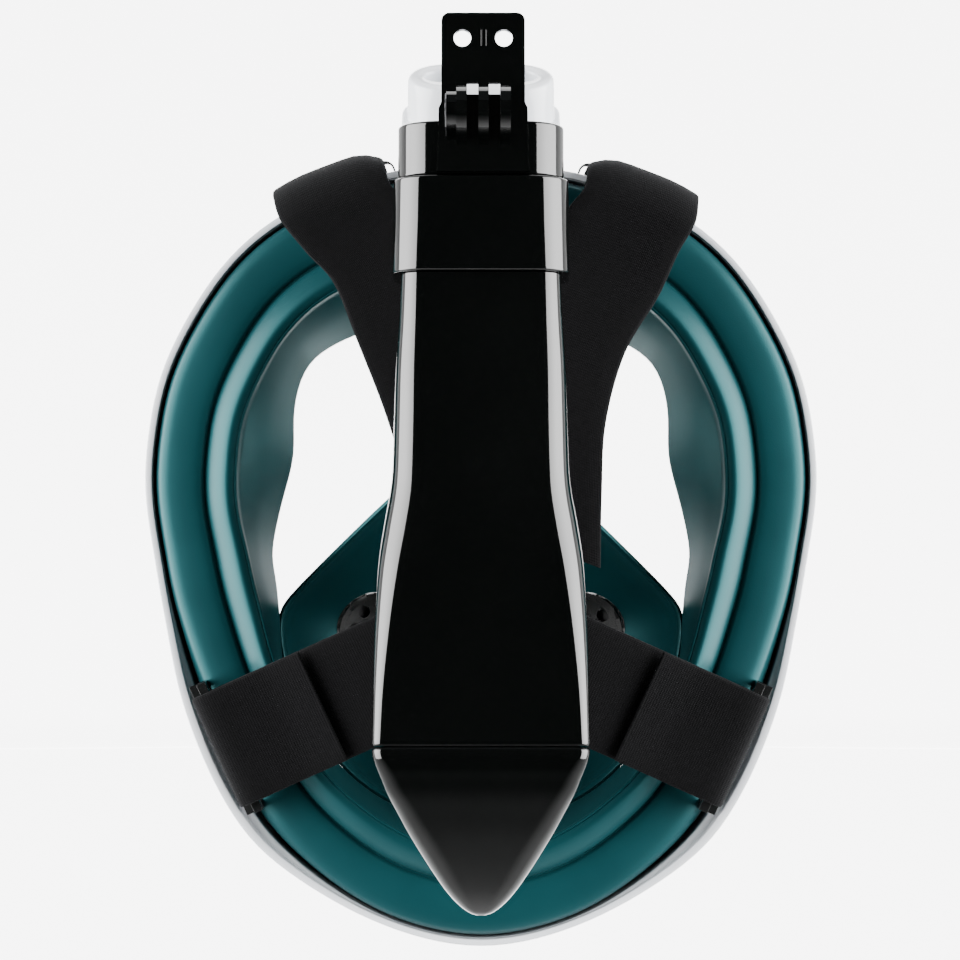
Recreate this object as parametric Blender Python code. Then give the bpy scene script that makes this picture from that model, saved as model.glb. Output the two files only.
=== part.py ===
"""Full face snorkel mask with its snorkel folded down behind it.

Sizes below are in millimetres and are turned into metres where a mesh is made.
X runs across the mask, +Y points out through the lens, +Z points up.
The origin lies on the centre plane, level with the nose bridge, where the skirt meets the face.
"""

import math

import bmesh
import bpy
import numpy as np
from mathutils import Matrix, Vector

MM = 0.001
gap = 0.3                      # between pieces that touch

# Mask outline, seen from behind: half of it, from the top down, as (across, up)
outline_half = [(0, 90.8), (23, 89.4), (40, 84.6), (59, 75.5), (73.5, 63), (85, 46), (92.8, 28.6),
                (96.4, 8), (96.5, -6), (93.9, -23), (91, -40), (85.4, -66), (74, -92.4),
                (59.5, -110), (30, -127.5), (0, -134.4)]
# Inner edge of the skirt's lip: half of it
lip_half = [(0, 47), (20, 46.5), (35.2, 42.8), (46.8, 37), (51.4, 32), (54.5, 20.4), (54.5, 7.3),
            (58.5, -8.7), (60.9, -21.8), (59.7, -28), (58.5, -40), (57, -56), (48, -74),
            (36, -88), (20, -97), (0, -100)]
# Rim of the nose and mouth cup: half of it
cup_half = [(0, 14), (9, 11.5), (20, 1), (36, -14), (55, -33), (59, -39.5), (58.5, -50),
            (56, -58), (48, -74), (36, -88), (20, -97), (0, -100)]
ring_centre = -20.0            # height of the point that the mask's rings are drawn round
cup_centre = -52.0
ring_steps = 40
corner_angle = 131.0           # where the frame widens to hold the lower straps
corner_spread = 38.0

frame_rear = 9.0
frame_front = 36.5
frame_wall = 2.2
frame_corner = 3.6             # extra width of the frame at the lower corners
frame_lip = 6.0                # how far its front lip reaches over the lens
frame_lip_thickness = 2.0

lens_wall = 2.5
lens_depth = 96.0              # from the face plane to the front of the lens
skirt_wall = 1.6
cup_wall = 1.8
cup_rim_depth = 23.0
cup_depth = 38.0
bridge_rise = 13.0             # how far the cup reaches back over the nose bridge

# Folding snorkel: both halves are drawn in frames whose origin is the hinge axis
hinge_place = (0.0, -4.6, 96.3)
neck_tilt = 27.0
folded_tilt = 175.0
axis_offset = 19.5             # from the hinge axis to the middle of the duct
sleeve_width = 46.1
sleeve_thickness = 32.0
sleeve_length = 15.3
socket_width = 41.4
socket_thickness = 26.2
socket_depth = 14.4
spigot_width = 40.0
spigot_thickness = 24.6
spigot_height = 12.0
shoulder_width = 45.7
shoulder_thickness = 31.4
collar_end = 42.0
tube_end = 172.2
tip_end = 218.4
tube_wall = 2.0
hinge_pin_radius = 1.5
hinge_clearance = 0.1
knuckle_radius = 3.1
knuckle_half = 7.0             # half length of the sleeve's knuckle
lug_width = 4.6

tongue_width = 22.2
tongue_reach = 27.7            # beyond the sleeve's mouth
tongue_thickness = 2.2
latch_hole_radius = 2.5
latch_hole_spread = 5.7
latch_hole_reach = 20.6
peg_radius = 1.4
peg_height = 1.2
finger_thickness = 2.8
finger_pitch = 6.0
finger_radius = 7.0
finger_centre = 0.7            # the fingers stand a little to one side
finger_bore_radius = 2.5
nut_flats = 8.0
nut_thickness = 2.3

strap_width = 34.0
strap_thickness = 1.6
float_travel = 9.0
valve_radius = 11.0
valve_lift = 1.2

materials = {
    "clear_lens": ((0.93, 0.96, 0.97, 1), 0.05, 0.0),
    "white_plastic": ((0.88, 0.89, 0.9, 1), 0.2, 0.0),
    "black_plastic": ((0.012, 0.012, 0.013, 1), 0.08, 0.0),
    "teal_silicone": ((0.01, 0.16, 0.18, 1), 0.4, 0.0),
    "black_rubber": ((0.02, 0.02, 0.02, 1), 0.6, 0.0),
    "strap_webbing": ((0.01, 0.01, 0.011, 1), 0.9, 0.0),
    "steel": ((0.6, 0.6, 0.62, 1), 0.3, 1.0),
    "float_foam": ((0.75, 0.75, 0.72, 1), 0.7, 0.0),
}


def clear_scene():
    for thing in list(bpy.data.objects):
        bpy.data.objects.remove(thing, do_unlink=True)


def get_material(node, kind):
    color, roughness, metallic = materials[kind]
    material = bpy.data.materials.new(f"{node}_{kind}")
    material.use_nodes = True
    shader = material.node_tree.nodes["Principled BSDF"]
    shader.inputs["Base Color"].default_value = color
    shader.inputs["Roughness"].default_value = roughness
    shader.inputs["Metallic"].default_value = metallic
    return material


def add_object(name, bm, parent=None):
    """Turn a mesh drawn in millimetres into an object in metres."""
    bmesh.ops.remove_doubles(bm, verts=bm.verts, dist=0.0005)
    bmesh.ops.recalc_face_normals(bm, faces=bm.faces)
    bmesh.ops.scale(bm, verts=bm.verts, vec=(MM, MM, MM))
    mesh = bpy.data.meshes.new(name)
    bm.to_mesh(mesh)
    bm.free()
    thing = bpy.data.objects.new(name, mesh)
    bpy.context.scene.collection.objects.link(thing)
    thing.parent = parent
    return thing


def add_node(name, bm, kind, parent=None, sharp=35):
    thing = add_object(name, bm, parent)
    thing.data.materials.append(get_material(name, kind))
    thing.data.shade_smooth()
    thing.data.set_sharp_from_angle(angle=math.radians(sharp))
    return thing


def combine(thing, other, operation="DIFFERENCE"):
    """Cut or join with a second object, which is then only a guide."""
    other.display_type = "WIRE"
    other.hide_render = True
    other.hide_set(True)
    modifier = thing.modifiers.new(other.name, "BOOLEAN")
    modifier.operation = operation
    modifier.solver = "EXACT"
    modifier.object = other


def curve_through(points, steps, closed=False):
    """Smooth curve through a few points (Catmull-Rom), with an even number of steps to a span."""
    points = [Vector(p) for p in points]
    count = len(points)
    spans = count if closed else count - 1
    result = []
    for i in range(spans):
        if closed:
            near = [points[(i + k - 1) % count] for k in range(4)]
        else:
            near = [points[min(max(i + k - 1, 0), count - 1)] for k in range(4)]
        a, b, c, d = near
        for step in range(steps):
            t = step / steps
            result.append(0.5 * (2 * b + (c - a) * t + (2 * a - 5 * b + 4 * c - d) * t * t
                                 + (3 * b - a - 3 * c + d) * t ** 3))
    if not closed:
        result.append(points[-1].copy())
    return result


def polar_radius(half, centre):
    """Radius of a mirrored outline round a point on the centre plane, as a function of angle."""
    left = [(-x, z) for x, z in reversed(half) if x > 0]
    curve = curve_through([(x, z, 0) for x, z in list(half) + left], 8, closed=True)
    angles = np.array([math.atan2(p.x, p.y - centre) % math.tau for p in curve])
    radii = np.array([math.hypot(p.x, p.y - centre) for p in curve])
    order = np.argsort(angles)
    return lambda angle: float(np.interp(angle % math.tau, angles[order], radii[order],
                                         period=math.tau))


outline = polar_radius(outline_half, ring_centre)
lip_edge = polar_radius(lip_half, ring_centre)
cup_edge = polar_radius(cup_half, cup_centre)


def corner_bump(angle):
    """1 at the two lower corners of the mask and 0 away from them."""
    turn = abs((math.degrees(angle) + 180) % 360 - 180)
    away = min(abs(turn - corner_angle) / corner_spread, 1)
    return math.cos(away * math.pi / 2) ** 2


def around(angle, radius, depth, centre=ring_centre):
    return Vector((radius * math.sin(angle), depth, centre + radius * math.cos(angle)))


def ring_angles(steps=ring_steps):
    return [math.tau * i / steps for i in range(steps)]


def inset_loop(inset, corner, depth):
    """A loop inside the mask's outline; corner is added to the inset at the lower corners."""
    return [around(a, outline(a) - inset - corner * corner_bump(a), depth)
            for a in ring_angles()]


def lip_loop(share, start_inset, start_corner, depth):
    """A loop between an inset loop (share 0) and the lip's inner edge (share 1)."""
    loop = []
    for a in ring_angles():
        start = outline(a) - start_inset - start_corner * corner_bump(a)
        loop.append(around(a, start + (lip_edge(a) - start) * share, depth))
    return loop


def skin(bm, loops, closed_rows=False, cap_first=False, cap_last=False):
    """Faces between rows of points. Each row is a closed loop of as many points."""
    rows = [[bm.verts.new(p) for p in loop] for loop in loops]
    pairs = list(zip(rows, rows[1:]))
    if closed_rows:
        pairs.append((rows[-1], rows[0]))
    for low, high in pairs:
        for i in range(len(low)):
            j = (i + 1) % len(low)
            bm.faces.new((low[i], low[j], high[j], high[i]))
    if cap_first:
        bm.faces.new(rows[0])
    if cap_last:
        bm.faces.new(rows[-1])
    return rows


def fan(bm, row, point):
    tip = bm.verts.new(point)
    for i in range(len(row)):
        bm.faces.new((row[i], row[(i + 1) % len(row)], tip))


def rounded_loop(width, thickness, radius, z, centre_y=axis_offset, steps=4):
    """Rounded rectangle across a duct, at height z along it."""
    radius = min(radius, width / 2 - 0.01, thickness / 2 - 0.01)
    loop = []
    for corner in range(4):
        start = corner * math.pi / 2
        cx = (width / 2 - radius) * (1 if corner in (0, 3) else -1)
        cy = (thickness / 2 - radius) * (1 if corner in (0, 1) else -1)
        for step in range(steps + 1):
            a = start + step * math.pi / 2 / steps
            loop.append(Vector((cx + radius * math.cos(a), centre_y + cy + radius * math.sin(a), z)))
    return loop


def solid_duct(sections):
    """A solid along the duct; a section is width, thickness, corner radius, z and middle y."""
    bm = bmesh.new()
    skin(bm, [rounded_loop(*section) for section in sections], cap_first=True, cap_last=True)
    return bm


def hollow_duct(outer, inner):
    """A pipe: outer sections from first to last, then inner ones from last to first."""
    bm = bmesh.new()
    loops = [rounded_loop(*s) for s in outer] + [rounded_loop(*s) for s in reversed(inner)]
    skin(bm, loops, closed_rows=True)
    return bm


def cylinder(radius, length, centre, direction, segments=24):
    bm = bmesh.new()
    turn = Vector(direction).to_track_quat("Z", "Y").to_matrix().to_4x4()
    place = Matrix.Translation(Vector(centre)) @ turn
    bmesh.ops.create_cone(bm, cap_ends=True, segments=segments, radius1=radius, radius2=radius,
                          depth=length, matrix=place)
    return bm


def box(low, high, place=Matrix()):
    bm = bmesh.new()
    low, high = Vector(low), Vector(high)
    size = Matrix.Diagonal((*(high - low), 1))
    bmesh.ops.create_cube(bm, size=1, matrix=place @ Matrix.Translation((low + high) / 2) @ size)
    return bm


def turned(profile, centre, direction, segments=24):
    """A closed solid of revolution; the profile is radius and distance along the axis."""
    bm = bmesh.new()
    turn = Vector(direction).to_track_quat("Z", "Y").to_matrix().to_4x4()
    loops = []
    for radius, along in profile:
        loops.append([Vector((radius * math.cos(a), radius * math.sin(a), along))
                      for a in ring_angles(segments)])
    rows = skin(bm, loops)
    bm.faces.new(rows[0])
    bm.faces.new(rows[-1])
    bmesh.ops.transform(bm, matrix=Matrix.Translation(Vector(centre)) @ turn, verts=bm.verts)
    return bm


def ribbon(points, across, width=strap_width, thickness=strap_thickness, steps=3):
    """A flat strap along a smooth path; across is the direction of its width."""
    path = curve_through(points, steps)
    across = Vector(across).normalized()
    loops = []
    for i, point in enumerate(path):
        ahead = path[min(i + 1, len(path) - 1)] - path[max(i - 1, 0)]
        out = ahead.cross(across).normalized()
        half, side = out * thickness / 2, across * width / 2
        loops.append([point + side + half, point + side - half,
                      point - side - half, point - side + half])
    bm = bmesh.new()
    skin(bm, loops, cap_first=True, cap_last=True)
    return bm


def add_frame(name, tilt):
    """An empty on the hinge axis whose Z runs along a duct and whose Y points to its front."""
    frame = bpy.data.objects.new(name, None)
    bpy.context.scene.collection.objects.link(frame)
    frame.location = Vector(hinge_place) * MM
    frame.rotation_euler = (math.radians(tilt), 0, 0)
    return frame


# Mask shell ---------------------------------------------------------------

def build_outer_frame():
    bm = bmesh.new()
    inner = frame_wall
    lip_back = frame_front - frame_lip_thickness
    rows = [(0, 0, frame_rear), (0, 0, frame_front - 2.5), (1.2, 0, frame_front),
            (frame_lip, frame_corner, frame_front), (frame_lip, frame_corner, lip_back),
            (inner, frame_corner, lip_back), (inner, frame_corner, frame_rear)]
    skin(bm, [inset_loop(*row) for row in rows], closed_rows=True)
    frame = add_node("outer_frame", bm, "white_plastic")
    combine(frame, air_passage("frame_passage", 0))
    return frame


def air_passage(name, grow):
    """Where air goes from the neck down through the top of the frame and skirt."""
    bm = bmesh.new()
    loops = [rounded_loop(34 + 2 * grow, 14 + 2 * grow, 6, z, 20.5) for z in (66, 96)]
    skin(bm, loops, cap_first=True, cap_last=True)
    return add_object(name, bm)


def lens_sections():
    """Inset, corner inset and depth of the lens's outer surface, from its flange forward."""
    flange = frame_front - frame_lip_thickness - gap
    start = frame_lip + gap
    return [(start, frame_corner, flange), (start, frame_corner, 42), (start + 2, frame_corner, 56),
            (start + 6, frame_corner, 70), (start + 14, 3, 82), (start + 28, 2, 90)]


def build_lens():
    bm = bmesh.new()
    flange = frame_front - frame_lip_thickness - gap
    edge = frame_wall + gap
    rows = [(edge, frame_corner, flange - lens_wall), (edge, frame_corner, flange)]
    outer = [inset_loop(*row) for row in rows + lens_sections()]
    inner = []
    for inset, corner, depth in lens_sections():
        deeper = 0 if depth < 60 else (depth - 60) / 36
        inner.append(inset_loop(inset + lens_wall * (1 - 0.5 * deeper), corner,
                                depth - lens_wall * (1 if depth == flange else deeper)))
    rows = skin(bm, list(reversed(inner)) + outer)
    top = around(0, 0, lens_depth, -20)
    for row, depth in ((rows[0], lens_depth - lens_wall), (rows[-1], lens_depth)):
        middle = []
        for vert in row:
            point = top + (vert.co - top) * 0.45
            point.y = depth - (lens_depth - 93.6)
            middle.append(bm.verts.new(point))
        for i in range(len(row)):
            j = (i + 1) % len(row)
            bm.faces.new((row[i], row[j], middle[j], middle[i]))
        fan(bm, middle, (0, depth, -20))
    lens = add_node("lens", bm, "clear_lens")
    hole = cylinder(valve_radius + gap, 30, purge_place, purge_direction)
    combine(lens, add_object("purge_hole", hole))
    return lens


def build_skirt():
    """Silicone skirt: flange in the frame, outer roll, groove, face roll and inner lip."""
    outer = [(2.6, 3.9, 31.4), (2.6, 4.2, 22), (4.4, 6, 14), (5.4, 6, 9), (7.6, 6, 5),
             (11.5, 5.4, 2.8), (15.3, 5, 3.2), (17.3, 4.8, 5.4), (18.3, 4.6, 5.6),
             (19, 4.4, 3.2), (20.6, 4.2, 0.9), (22.6, 4, 0.1), (25, 3.6, 0.9), (27.3, 3.4, 3)]
    lip = [(0.35, 8), (0.7, 15), (1, 21), (1, 21 + skirt_wall), (0.7, 17.5), (0.35, 11)]
    back = [(25.5, 3.6, 7), (20, 4.4, 8.8), (14, 5.2, 8), (9.5, 6, 10.5), (7.4, 6, 15),
            (6.6, 4.2, 24), (6.6, 3.9, 31.4)]
    loops = [inset_loop(*row) for row in outer]
    loops += [lip_loop(share, 27.3, 3.4, depth) for share, depth in lip]
    loops += [inset_loop(*row) for row in back]
    bm = bmesh.new()
    skin(bm, loops, closed_rows=True)
    skirt = add_node("face_skirt", bm, "teal_silicone", sharp=50)
    combine(skirt, air_passage("skirt_passage", 0.8))
    return skirt


def cup_surface(inset, steps=7, ring=34):
    """Rows of the cup's dome from its rim to near its top, and the top point."""
    loops = []
    for step in range(steps):
        lift = math.pi / 2 * step / steps
        share = math.cos(lift)
        loop = []
        for a in ring_angles(ring):
            edge = cup_edge(a) - inset
            height = cup_centre + edge * math.cos(a)
            rise = min(max((height + 35) / 49, 0), 1)
            rim = cup_rim_depth - bridge_rise * rise * rise * (3 - 2 * rise)
            depth = cup_rim_depth + (rim - cup_rim_depth) * share ** 2
            loop.append(around(a, edge * share, depth + (cup_depth - inset) * math.sin(lift),
                               cup_centre))
        loops.append(loop)
    return loops, Vector((0, cup_rim_depth + cup_depth - inset, cup_centre))


def build_cup():
    outer, outer_top = cup_surface(0)
    inner, inner_top = cup_surface(cup_wall)
    bm = bmesh.new()
    rows = skin(bm, list(reversed(outer)) + inner)
    fan(bm, rows[0], outer_top)
    fan(bm, rows[-1], inner_top)
    cup = add_node("orinasal_cup", bm, "teal_silicone", sharp=50)
    for side, name in ((-1, "left"), (1, "right")):
        place = Vector((side * inlet_place[0], inlet_place[1], inlet_place[2]))
        direction = Vector((side * inlet_direction[0], inlet_direction[1], inlet_direction[2]))
        hole = cylinder(valve_radius + gap, 20, place, direction)
        combine(cup, add_object(f"inlet_hole_{name}", hole))
    return cup


def build_exhale_duct(side, name):
    """Rectangular duct behind the skirt that leads used air up to the neck."""
    start, end, steps = 16, 108, 14
    bm = bmesh.new()
    rows = []
    for step in range(steps + 1):
        a = math.radians(start + (end - start) * step / steps) * side
        bump = 6 * corner_bump(a)
        edge = outline(a) - 7.9 - bump
        ring = [(0, 15), (0, 25), (10, 25), (10, 15)]
        bore = [(1.4, 16.4), (1.4, 23.6), (8.6, 23.6), (8.6, 16.4)]
        rows.append([[bm.verts.new(around(a, edge - inset, depth)) for inset, depth in shape]
                     for shape in (ring, bore)])
    for low, high in zip(rows, rows[1:]):
        for shape in (0, 1):
            for i in range(4):
                j = (i + 1) % 4
                bm.faces.new((low[shape][i], low[shape][j], high[shape][j], high[shape][i]))
    for ring, bore in (rows[0], rows[-1]):
        for i in range(4):
            j = (i + 1) % 4
            bm.faces.new((ring[i], ring[j], bore[j], bore[i]))
    return add_node(f"exhale_duct_{name}", bm, "teal_silicone")


# Valves -------------------------------------------------------------------

inlet_place = (33.6, 54.0, -43.5)
inlet_direction = (0.40, 0.88, 0.25)
purge_place = (0.0, 55.0, -123.5)
purge_direction = (0.0, 0.12, -1.0)


def build_valve(seat_name, flap_name, place, direction, seat_kind):
    """A vented round seat with a mushroom flap that lifts away along the direction."""
    place, direction = Vector(place), Vector(direction).normalized()
    plate = 0.9
    seat_half = 3.6
    rim = valve_radius - 1.8
    profile = [(rim, plate), (rim, seat_half), (valve_radius, seat_half),
               (valve_radius, -seat_half), (rim, -seat_half), (rim, -plate)]
    seat = add_node(seat_name, turned(profile, place, direction, 20), seat_kind)
    for i in range(5):
        a = math.tau * i / 5
        side = direction.orthogonal().normalized()
        other = direction.cross(side)
        offset = (side * math.cos(a) + other * math.sin(a)) * 4.9
        vent = cylinder(1.9, 6, place + offset, direction, 8)
        combine(seat, add_object(f"{seat_name}_vent_{i + 1}", vent))
    stem_hole = cylinder(1.2, 6, place, direction, 12)
    combine(seat, add_object(f"{seat_name}_stem_hole", stem_hole))
    low = plate + gap
    bulb = -plate - valve_lift - 2 * gap
    profile = [(0.9, bulb - 1.4), (1.9, bulb - 0.6), (1.9, bulb), (0.9, bulb), (0.9, low),
               (rim - 0.6, low), (rim - 0.6, low + 0.4), (1.6, low + 0.9)]
    add_node(flap_name, turned(profile, place, direction, 16), "black_rubber")


def build_purge_cover():
    """Slotted cap over the drain valve at the chin."""
    direction = Vector(purge_direction).normalized()
    place = Vector(purge_place)
    profile = [(valve_radius - 3, 4.0), (valve_radius - 3, 7), (valve_radius - 0.5, 7),
               (valve_radius + 1.5, 5.5), (valve_radius + 1.5, 3.9), (valve_radius - 1.6, 3.9)]
    bm = bmesh.new()
    turn = direction.to_track_quat("Z", "Y").to_matrix().to_4x4()
    loops = [[Vector((r * math.cos(t), r * math.sin(t), a)) for t in ring_angles(20)]
             for r, a in profile]
    skin(bm, loops, closed_rows=True)
    bmesh.ops.transform(bm, matrix=Matrix.Translation(place) @ turn, verts=bm.verts)
    cover = add_node("purge_cover", bm, "black_plastic")
    for i in (-1, 1):
        bar = box((i * 3 - 0.9, -valve_radius + 1, 5), (i * 3 + 0.9, valve_radius - 1, 6.6),
                  Matrix.Translation(place) @ turn)
        combine(cover, add_object(f"cover_bar_{i}", bar), "UNION")


# Neck and hinge -----------------------------------------------------------

def lug(x_low, x_high, side):
    """A hinge lug round the hinge axis with a web to the wall; side is +1 up the duct."""
    bm = bmesh.new()
    steps = 15
    wall = axis_offset - shoulder_thickness / 2 + 1.2
    points = [Vector((0, wall, side * 1.2)), Vector((0, wall, side * 8.5)),
              Vector((0, 1.2, side * 5.0))]
    for step in range(steps + 1):
        a = math.radians(60 + 285 * step / steps)
        points.append(Vector((0, knuckle_radius * math.cos(a), side * knuckle_radius * math.sin(a))))
    loops = [[p + Vector((x, 0, 0)) for p in points] for x in (x_low, x_high)]
    skin(bm, loops, cap_first=True, cap_last=True)
    return bm


def build_neck(frame):
    shoulder = [(shoulder_width, shoulder_thickness, 12, -44), (shoulder_width, shoulder_thickness, 12, -1),
                (shoulder_width - 1.2, shoulder_thickness - 1.2, 12, 0)]
    rear = axis_offset - spigot_thickness / 2
    spigot = []
    for z, less in ((-3, 0), (0, 0), (6, 0.7), (spigot_height - 1, 2.6), (spigot_height, 3.8)):
        thick = spigot_thickness - less
        spigot.append((spigot_width - less * 0.4, thick, 11, z, rear + thick / 2))
    neck = add_node("neck", solid_duct(shoulder), "white_plastic", frame)
    combine(neck, add_object("neck_spigot", solid_duct(spigot), frame), "UNION")
    for side in (-1, 1):
        ends = sorted((side * (knuckle_half + gap), side * (knuckle_half + gap + lug_width)))
        combine(neck, add_object(f"neck_lug_{side}", lug(*ends, -1), frame), "UNION")
        peg = cylinder(peg_radius, peg_height + 1, (side * latch_hole_spread,
                       axis_offset + shoulder_thickness / 2 + peg_height / 2 - 0.5,
                       -latch_hole_reach), (0, 1, 0), 16)
        combine(neck, add_object(f"neck_peg_{side}", peg, frame), "UNION")
    for name, x, width in (("middle", 0, 14), ("left", -13.5, 9), ("right", 13.5, 9)):
        channel = solid_duct([(width, 15.5, 3.5, z, axis_offset - 1.2) for z in (-50, 14)])
        bmesh.ops.translate(channel, vec=(x, 0, 0), verts=channel.verts)
        combine(neck, add_object(f"neck_channel_{name}", channel, frame))
    bore = cylinder(hinge_pin_radius + hinge_clearance, 40, (0, 0, 0), (1, 0, 0), 20)
    combine(neck, add_object("neck_pin_bore", bore, frame))
    combine(neck, outline_block())
    return neck


def outline_block():
    """The mask's whole outline as a block, which the neck's foot is shaped to."""
    bm = bmesh.new()
    loops = [[around(a, outline(a) + gap, depth) for a in ring_angles()] for depth in (-40, 90)]
    skin(bm, loops, cap_first=True, cap_last=True)
    return add_object("neck_foot_cut", bm)


def build_hinge_pin(frame):
    half = knuckle_half + gap + lug_width + 0.6
    add_node("hinge_pin", cylinder(hinge_pin_radius, 2 * half, (0, 0, 0), (1, 0, 0), 20),
             "steel", frame)


# Snorkel ------------------------------------------------------------------

def build_sleeve(frame):
    w, t = sleeve_width, sleeve_thickness
    step = sleeve_length + 4
    outer = [(w - 0.8, t - 0.8, 12.5, gap), (w, t, 13, gap + 0.6), (w, t, 13, sleeve_length),
             (socket_width - 1, socket_thickness - 1, 10, sleeve_length),
             (socket_width - 1, socket_thickness - 1, 10, step)]
    inner = [(socket_width, socket_thickness, 11.5, gap),
             (socket_width, socket_thickness, 11.5, socket_depth),
             (socket_width - 5, socket_thickness - 5, 8, socket_depth),
             (socket_width - 5, socket_thickness - 5, 8, step)]
    sleeve = add_node("base_sleeve", hollow_duct(outer, inner), "black_plastic", frame)
    combine(sleeve, add_object("sleeve_lug", lug(-knuckle_half, knuckle_half, 1), frame), "UNION")
    bore = cylinder(hinge_pin_radius + hinge_clearance, 40, (0, 0, 0), (1, 0, 0), 20)
    combine(sleeve, add_object("sleeve_pin_bore", bore, frame))
    keep_clear = solid_duct([(socket_width, socket_thickness, 11.5, z) for z in (-5, socket_depth)])
    combine(sleeve, add_object("sleeve_socket", keep_clear, frame))


def build_gasket(frame):
    z = socket_depth - gap
    outer = [(socket_width - 0.6, socket_thickness - 0.6, 11, z - 1.6),
             (socket_width - 0.6, socket_thickness - 0.6, 11, z)]
    inner = [(socket_width - 7, socket_thickness - 7, 8, z - 1.6),
             (socket_width - 7, socket_thickness - 7, 8, z)]
    add_node("sleeve_gasket", hollow_duct(outer, inner), "black_rubber", frame)


def build_collar(frame):
    start = sleeve_length + gap
    outer = [(sleeve_width + 1.2, sleeve_thickness + 1.4, 13, start),
             (sleeve_width + 2.6, sleeve_thickness + 2.4, 13, start + 0.7),
             (sleeve_width + 3.0, sleeve_thickness + 2.6, 13, start + 13),
             (sleeve_width + 2.6, sleeve_thickness + 2.6, 13, collar_end - 0.7),
             (sleeve_width + 1.2, sleeve_thickness + 1.4, 13, collar_end)]
    bore = (socket_width - 1 + 2 * gap, socket_thickness - 1 + 2 * gap, 10)
    inner = [(*bore, start), (*bore, collar_end)]
    add_node("collar", hollow_duct(outer, inner), "black_plastic", frame)


def tube_sections():
    """Width, thickness, corner radius and place of the tube's outside, from collar to tip."""
    return [(44.2, 30, 10, collar_end + gap), (45.4, 30.4, 10, 58), (47.4, 31, 10, 72),
            (48.2, 31.4, 10, 92), (50.0, 32.2, 10, 102), (53.4, 33.6, 10.5, 112),
            (56.6, 35.2, 11, 124), (58.2, 36.4, 11.5, 142), (59.2, 37, 12, tube_end)]


def build_tube(frame):
    outer = tube_sections()
    collar_bore = (socket_width - 1 - 2 * gap + 0.6, socket_thickness - 1, 10)
    plug = [(*collar_bore, sleeve_length + 4 + gap), (*collar_bore, collar_end + gap)]
    inner = [(w - 2 * tube_wall, t - 2 * tube_wall, r - tube_wall, z) for w, t, r, z in outer]
    inner[0] = (36.4, 21.2, 8, sleeve_length + 4 + gap)
    inner.insert(1, (36.4, 21.2, 8, collar_end + 2))
    add_node("tube_shell", hollow_duct(plug + outer, inner), "black_plastic", frame)


def build_tip(frame):
    """Pointed cap over the float chamber, with air slots on its rear side."""
    profile = [(29.7, tube_end + gap), (29.5, 175), (27.3, 181), (24.2, 188), (20.6, 195),
               (16.6, 201.5), (12.4, 208), (8.4, 213.6), (4.6, 216.8)]
    flat = 37 / 59.4
    outer = [(2 * r, 2 * r * flat, r * 0.55, z) for r, z in profile]
    inner = [(2 * (r - 1.9), 2 * (r - 1.9) * flat, (r - 1.9) * 0.55, z) for r, z in profile[:8]]
    bm = bmesh.new()
    rows = skin(bm, [rounded_loop(*s) for s in reversed(inner)] + [rounded_loop(*s) for s in outer])
    fan(bm, rows[0], (0, axis_offset, 214.6))
    fan(bm, rows[-1], (0, axis_offset, tip_end))
    tip = add_node("tip_cap", bm, "black_plastic", frame)
    for i in range(3):
        slot = box((-11, -2, 176.5 + 5 * i), (11, axis_offset - 6, 178.7 + 5 * i))
        combine(tip, add_object(f"tip_slot_{i + 1}", slot, frame))


def build_inner_duct(frame):
    """Middle duct for fresh air; the space on each side of it carries used air away."""
    low = sleeve_length + 4 + 2 * gap
    outer = [(17, 20.4, 3, low), (17, 20.4, 3, 148)]
    inner = [(14, 17.4, 2, low), (14, 17.4, 2, 148)]
    add_node("inner_duct", hollow_duct(outer, inner), "black_plastic", frame)


def build_float(frame):
    seat_z = tube_end - 3.0
    w, t = tube_sections()[-1][0] - 2 * tube_wall, tube_sections()[-1][1] - 2 * tube_wall
    outer = [(w - 1.2, t - 1.2, 9, seat_z), (w - 0.8, t - 0.8, 9, seat_z + 2)]
    inner = [(16, 12, 5, seat_z), (16, 12, 5, seat_z + 2)]
    add_node("float_seat", hollow_duct(outer, inner), "black_plastic", frame)
    cage_low = 148 + gap
    outer = [(32, 27, 5, cage_low), (32, 27, 5, seat_z - gap)]
    inner = [(29, 24, 4, cage_low), (29, 24, 4, seat_z - gap)]
    cage = add_node("float_cage", hollow_duct(outer, inner), "black_plastic", frame)
    for i, (across, along) in enumerate(((40, 12), (10, 40))):
        window = solid_duct([(across, along, 2, z) for z in (cage_low + 4, seat_z - 4)])
        combine(cage, add_object(f"cage_window_{i + 1}", window, frame))
    top = seat_z - 2 * gap - 1.5
    add_node("float_disc", solid_duct([(20, 16, 5, top + gap), (20, 16, 5, seat_z - gap - 0.1)]),
             "black_rubber", frame)
    low = 148 + float_travel + 0.8
    add_node("float", solid_duct([(27, 22, 3.5, low), (27, 22, 3.5, top)]), "float_foam", frame)


# Camera bracket and latch -------------------------------------------------

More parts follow.
